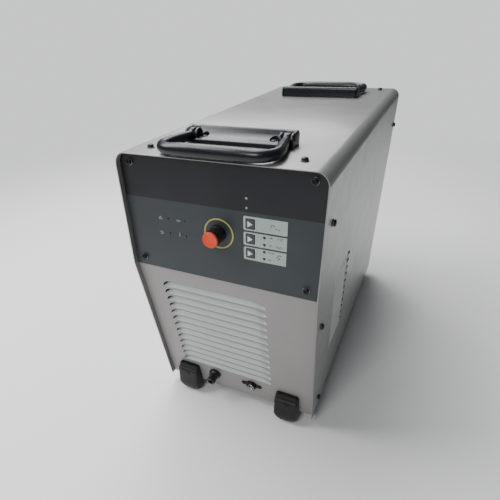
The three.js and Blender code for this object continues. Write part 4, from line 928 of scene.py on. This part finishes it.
# frame ring and its square flange
sq = 86.0
y1 = REAR_Y - SHEET - 0.3
sqr = rounded(-sq, sq, -sq, sq, 9, 6)
fl = plate("fan_flange", [[(-a, b) for a, b in sqr], ring2(0, 0, FAN_R, 72)], 5.0, P(0, y1, FAN_Z), -X, Z, BLACK, bevel=0.4, slot="black_plastic")
ring = lathe_geo(P(0, 594, FAN_Z), Y, [(FAN_R, 0), (FAN_R + 2.4, 0), (FAN_R + 3, 0.6), (FAN_R + 3, y1 - 594 - 5.2), (FAN_R, y1 - 594 - 5.2), (FAN_R, 0)], 72)
geos = [ring, lathe_geo(P(0, 594, FAN_Z), Y, [(0, 0), (29.3, 0), (30, 0.7), (30, 5.3), (29.3, 6), (5, 6), (5, 20), (0, 20)], 48)]
for i in range(4):
    a = i * math.pi / 2 + 0.5
    c, s = math.cos(a), math.sin(a)
    geos.append(lathe_geo(P(25 * c, 597, FAN_Z + 25 * s), Vector((c, 0, s)), [(0, 0), (2.8, 0), (2.8, 56.4), (0, 56.4)], 16))
fr = make("fan_shroud", *merge(*geos), BLACK, slot="black_plastic", smooth=40)
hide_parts("fan_frame")
# mains breaker and its toggle bar
def block(x0, x1, y0, y1, z0, z1, r=1.0):
    rr = rounded(x0, x1, z0, z1, r, 3)
    return loft([[P(a, y, b) for a, b in rr] for y in (y0, y1)])
bx = BRX
parts = [block(bx - 27, bx + 27, REAR_Y - 68, REAR_Y - 20, BRZ - 42, BRZ + 42), block(bx - 27, bx + 27, REAR_Y - 20, REAR_Y - 1.8, BRZ - 42, BRZ + 42)]
face = rounded(bx - 26.7, bx + 26.7, BRZ - 22.4, BRZ + 22.4, 1.2, 3)
slot_o = rounded(bx - 22, bx + 22, BRZ - 11, BRZ + 11, 0.8, 3)
fplate = plate("breaker_face", [mirror(face), mirror(slot_o)], 12.9, P(0, REAR_Y + 4, 0), -X, Z, BLACK, bevel=0.5, slot="black_plastic")
make("breaker_case", *merge(*parts), BLACK, slot="black_plastic", smooth=35)
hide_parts("mains_breaker")
disjoint_rear = []
for i in range(-1, 2):
    xx = bx + i * 14.6
    disjoint_rear.append(loft([[P(a, y, b) for a, b in rounded(xx - 4.5, xx + 4.5, BRZ + 13.5, BRZ + 17.5, 0.6, 2)] for y in (REAR_Y + 4.0, REAR_Y + 4.25)]))
make("breaker_marks", *merge(*disjoint_rear), PALE, slot="black_plastic", smooth=35)
py, pz = REAR_Y - 2.2, BRZ
sec = [(6.5 * math.cos(math.radians(a)), 6.5 * math.sin(math.radians(a))) for a in range(10, 326, 15)]
lever = [(3.6, -5.4), (9, -6.6), (14.6, -7.2), (15.8, -6.8), (16.5, -5.8), (16.5, -3.2), (15.9, -2.4), (10, -0.6), (5.9, 2.7)]
ringp = sec[:-1] + lever
rings = []
for x, e in ((bx - 21.5, 0.4), (bx - 21.1, 0.0), (bx + 21.1, 0.0), (bx + 21.5, 0.4)):
    rings.append([P(x, py + a * (1 - e / 8), pz + b * (1 - e / 8)) for a, b in ringp])
tg = make("breaker_bar", *loft(rings), TOGGLE, body="mains_toggle", slot="toggle_plastic", smooth=35)
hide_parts("breaker_toggle")
# gland with its hexagon nut, and the barbed air inlet
gp = P(GLAND[0], REAR_Y, GLAND[1])
g1 = lathe_geo(gp, Y, [(8, -14), (12, -14), (12, 0.3), (16.2, 0.3), (17, 0.9), (17, 6.2), (16.2, 7), (14.4, 7.4), (14.4, 8.2), (8, 8.2), (8, -14)], 6)
g1 = lathe_geo(gp, Y, [(8, 0.3), (16.6, 0.3), (17.0, 0.8), (17.0, 6.4), (16.4, 7.0), (8, 7.0), (8, 0.3)], 6)
g2 = lathe_geo(gp, Y, [(8, -14), (12, -14), (12, 0.4), (8, 0.4), (8, -14)], 40)
g3r = []
for l, r in ((7.0, 14.2), (8.2, 15.2), (18.5, 15.6), (21.0, 15.0), (24.5, 13.4), (27.4, 10.6), (28.4, 9.2), (28.5, 8.2)):
    row = []
    for k in range(96):
        t = 2 * math.pi * k / 96
        fl_ = 0.45 * max(0, math.cos(16 * t)) if 8 < l < 20 else 0
        q = (r - fl_) / 1000
        row.append(gp + Vector((math.cos(t) * q, l / 1000, math.sin(t) * q)))
    g3r.append(row)
g3r.append([gp + Vector((math.cos(2 * math.pi * k / 96) * 0.008, 0.007, math.sin(2 * math.pi * k / 96) * 0.008)) for k in range(96)])
g3 = loft(g3r, cap=False, close=True)
gl = make("mains_lead_gland", *merge(g1, g2, g3), BLACK, slot="black_plastic", smooth=38)
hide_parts("mains_gland")
ap = P(GAS[0], REAR_Y, GAS[1])
a1 = lathe_geo(ap, Y, [(3.4, 0.3), (10, 0.3), (10, 6.8), (9.4, 7.2), (3.4, 7.2), (3.4, 0.3)], 6)
prof = [(3.4, -20), (6.3, -20), (6.5, -19.6), (6.5, 0.4), (5.0, 0.4), (5.0, 7.4), (6, 7.6), (6, 8.4), (5.2, 9.6)]
for l in (10.2, 14.4, 18.6):
    prof += [(5.1, l), (6.2, l + 3.2), (6.1, l + 3.5), (5.1, l + 3.7)]
prof += [(5.0, 23.4), (4.8, 25.6), (4.4, 26), (3.6, 26), (3.4, 25.6), (3.4, -20)]
a2 = lathe_geo(ap, Y, prof, 40)
ai = make("air_supply_nipple", *merge(a1, a2), BRASS, slot="brass", smooth=38)
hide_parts("air_inlet")

# ------------------------------------------------------------------ carried-over nodes
keep = {
    "base_tray": ZINC, "inner_frame": ZINC, "potentiometer_shaft": ZINC, "potentiometer": ZINC,
    "control_board": PCB, "power_board": PCB, "heatsink": ALU, "transformer_core": FERRITE,
    "transformer_winding": COPPER, "output_choke": COPPER, "solenoid_valve": BRASS,
    "lamp_block_left": LENS, "lamp_block_right": LENS,
}
for nd, mt in keep.items():
    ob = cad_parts[nd]
    if not ob.material_slots:
        ob.data.materials.append(mt)
    for s in ob.material_slots:
        s.material = mt

# ------------------------------------------------------------------ floor, light, camera
FLOOR = surface("floor_pale", (238, 238, 238), 0.7, 0.0, 0.01, 3.0, 0.05, 200.0, 0.00005)
rings = [[Vector((x, y, -0.0002)) for x, y in ((-30, -30), (30, -30), (30, 30), (-30, 30))]]
nt = FLOOR.node_tree
out = next(n for n in nt.nodes if n.type == "OUTPUT_MATERIAL")
lit = out.inputs["Surface"].links[0].from_socket
pos = nt.nodes.new("ShaderNodeNewGeometry")
far = nt.nodes.new("ShaderNodeVectorMath")
far.operation = "LENGTH"
nt.links.new(pos.outputs["Position"], far.inputs[0])
fade = nt.nodes.new("ShaderNodeMapRange")
fade.interpolation_type = "SMOOTHSTEP"
fade.inputs["From Min"].default_value = 0.75
fade.inputs["From Max"].default_value = 2.4
nt.links.new(far.outputs["Value"], fade.inputs["Value"])
path = nt.nodes.new("ShaderNodeLightPath")
both = nt.nodes.new("ShaderNodeMath")
both.operation = "MULTIPLY"
nt.links.new(fade.outputs["Result"], both.inputs[0])
nt.links.new(path.outputs["Is Camera Ray"], both.inputs[1])
pale = nt.nodes.new("ShaderNodeEmission")
pale.inputs["Color"].default_value = (0.96, 0.97, 0.98, 1.0)
pale.inputs["Strength"].default_value = 1.05
mix = nt.nodes.new("ShaderNodeMixShader")
nt.links.new(both.outputs["Value"], mix.inputs[0])
nt.links.new(lit, mix.inputs[1])
nt.links.new(pale.outputs["Emission"], mix.inputs[2])
nt.links.new(mix.outputs["Shader"], out.inputs["Surface"])
me = bpy.data.meshes.new("floor")
me.from_pydata([tuple(v) for v in rings[0]], [], [(0, 1, 2, 3)])
me.materials.append(FLOOR)
floor = bpy.data.objects.new("floor", me)
bpy.context.collection.objects.link(floor)

world = bpy.data.worlds.new("studio") if not bpy.context.scene.world else bpy.context.scene.world
bpy.context.scene.world = world
world.use_nodes = True
bg = world.node_tree.nodes.get("Background") or world.node_tree.nodes.new("ShaderNodeBackground")
bg.inputs["Color"].default_value = (0.93, 0.96, 1.0, 1.0)
bg.inputs["Strength"].default_value = 0.12
wt = world.node_tree
seen = wt.nodes.new("ShaderNodeBackground")
seen.inputs["Color"].default_value = (0.96, 0.97, 0.98, 1.0)
seen.inputs["Strength"].default_value = 1.05
wpath = wt.nodes.new("ShaderNodeLightPath")
wmix = wt.nodes.new("ShaderNodeMixShader")
wout = next((n for n in wt.nodes if n.type == "OUTPUT_WORLD"), None) or wt.nodes.new("ShaderNodeOutputWorld")
wt.links.new(wpath.outputs["Is Camera Ray"], wmix.inputs[0])
wt.links.new(bg.outputs["Background"], wmix.inputs[1])
wt.links.new(seen.outputs["Background"], wmix.inputs[2])
wt.links.new(wmix.outputs["Shader"], wout.inputs["Surface"])


def area(name, loc, target, size, power, color=(1, 1, 1), size_y=None):
    ld = bpy.data.lights.new(name, "AREA")
    ld.energy, ld.color, ld.size = power, color, size
    if size_y:
        ld.shape, ld.size_y = "RECTANGLE", size_y
    ob = bpy.data.objects.new(name, ld)
    bpy.context.collection.objects.link(ob)
    ob.location = loc
    ob.rotation_euler = (Vector(target) - Vector(loc)).to_track_quat("-Z", "Y").to_euler()
    return ob


area("key_soft", (-1.7, -0.7, 2.3), (0, -0.1, 0.3), 1.4, 66)
area("top_soft", (-0.85, 0.5, 2.3), (-0.1, 0.1, 0.4), 1.5, 46, (0.97, 0.985, 1.0))
area("back_soft", (-0.9, 1.9, 2.0), (-0.2, 0.7, 0), 1.6, 32)
area("front_soft", (-0.15, -2.1, 2.0), (0.0, -0.3, 0.35), 0.7, 26)

OFF = Vector((0, OY, OZ)) / 1000.0
C = Vector((0.24005, -0.43684, 0.60784)) + OFF
yaw, pitch, roll = -0.4791, 0.5848, -0.0494
fw = Vector((math.sin(yaw) * math.cos(pitch), math.cos(yaw) * math.cos(pitch), -math.sin(pitch)))
right = Vector((math.cos(yaw), -math.sin(yaw), 0))
upv = right.cross(fw)
r = right * math.cos(roll) + upv * math.sin(roll)
u = -right * math.sin(roll) + upv * math.cos(roll)
cam = bpy.data.cameras.new("camera")
cam.sensor_width = 36.0
cam.lens = 400.73 / 500.0 * 36.0
cam.shift_x = (250.0 - 225.53) / 500.0
cam.shift_y = (289.94 - 250.0) / 500.0
cam.clip_start = 0.02
co = bpy.data.objects.new("camera", cam)
bpy.context.collection.objects.link(co)
co.matrix_world = Matrix(((r.x, u.x, -fw.x, C.x), (r.y, u.y, -fw.y, C.y), (r.z, u.z, -fw.z, C.z), (0, 0, 0, 1)))
bpy.context.scene.camera = co
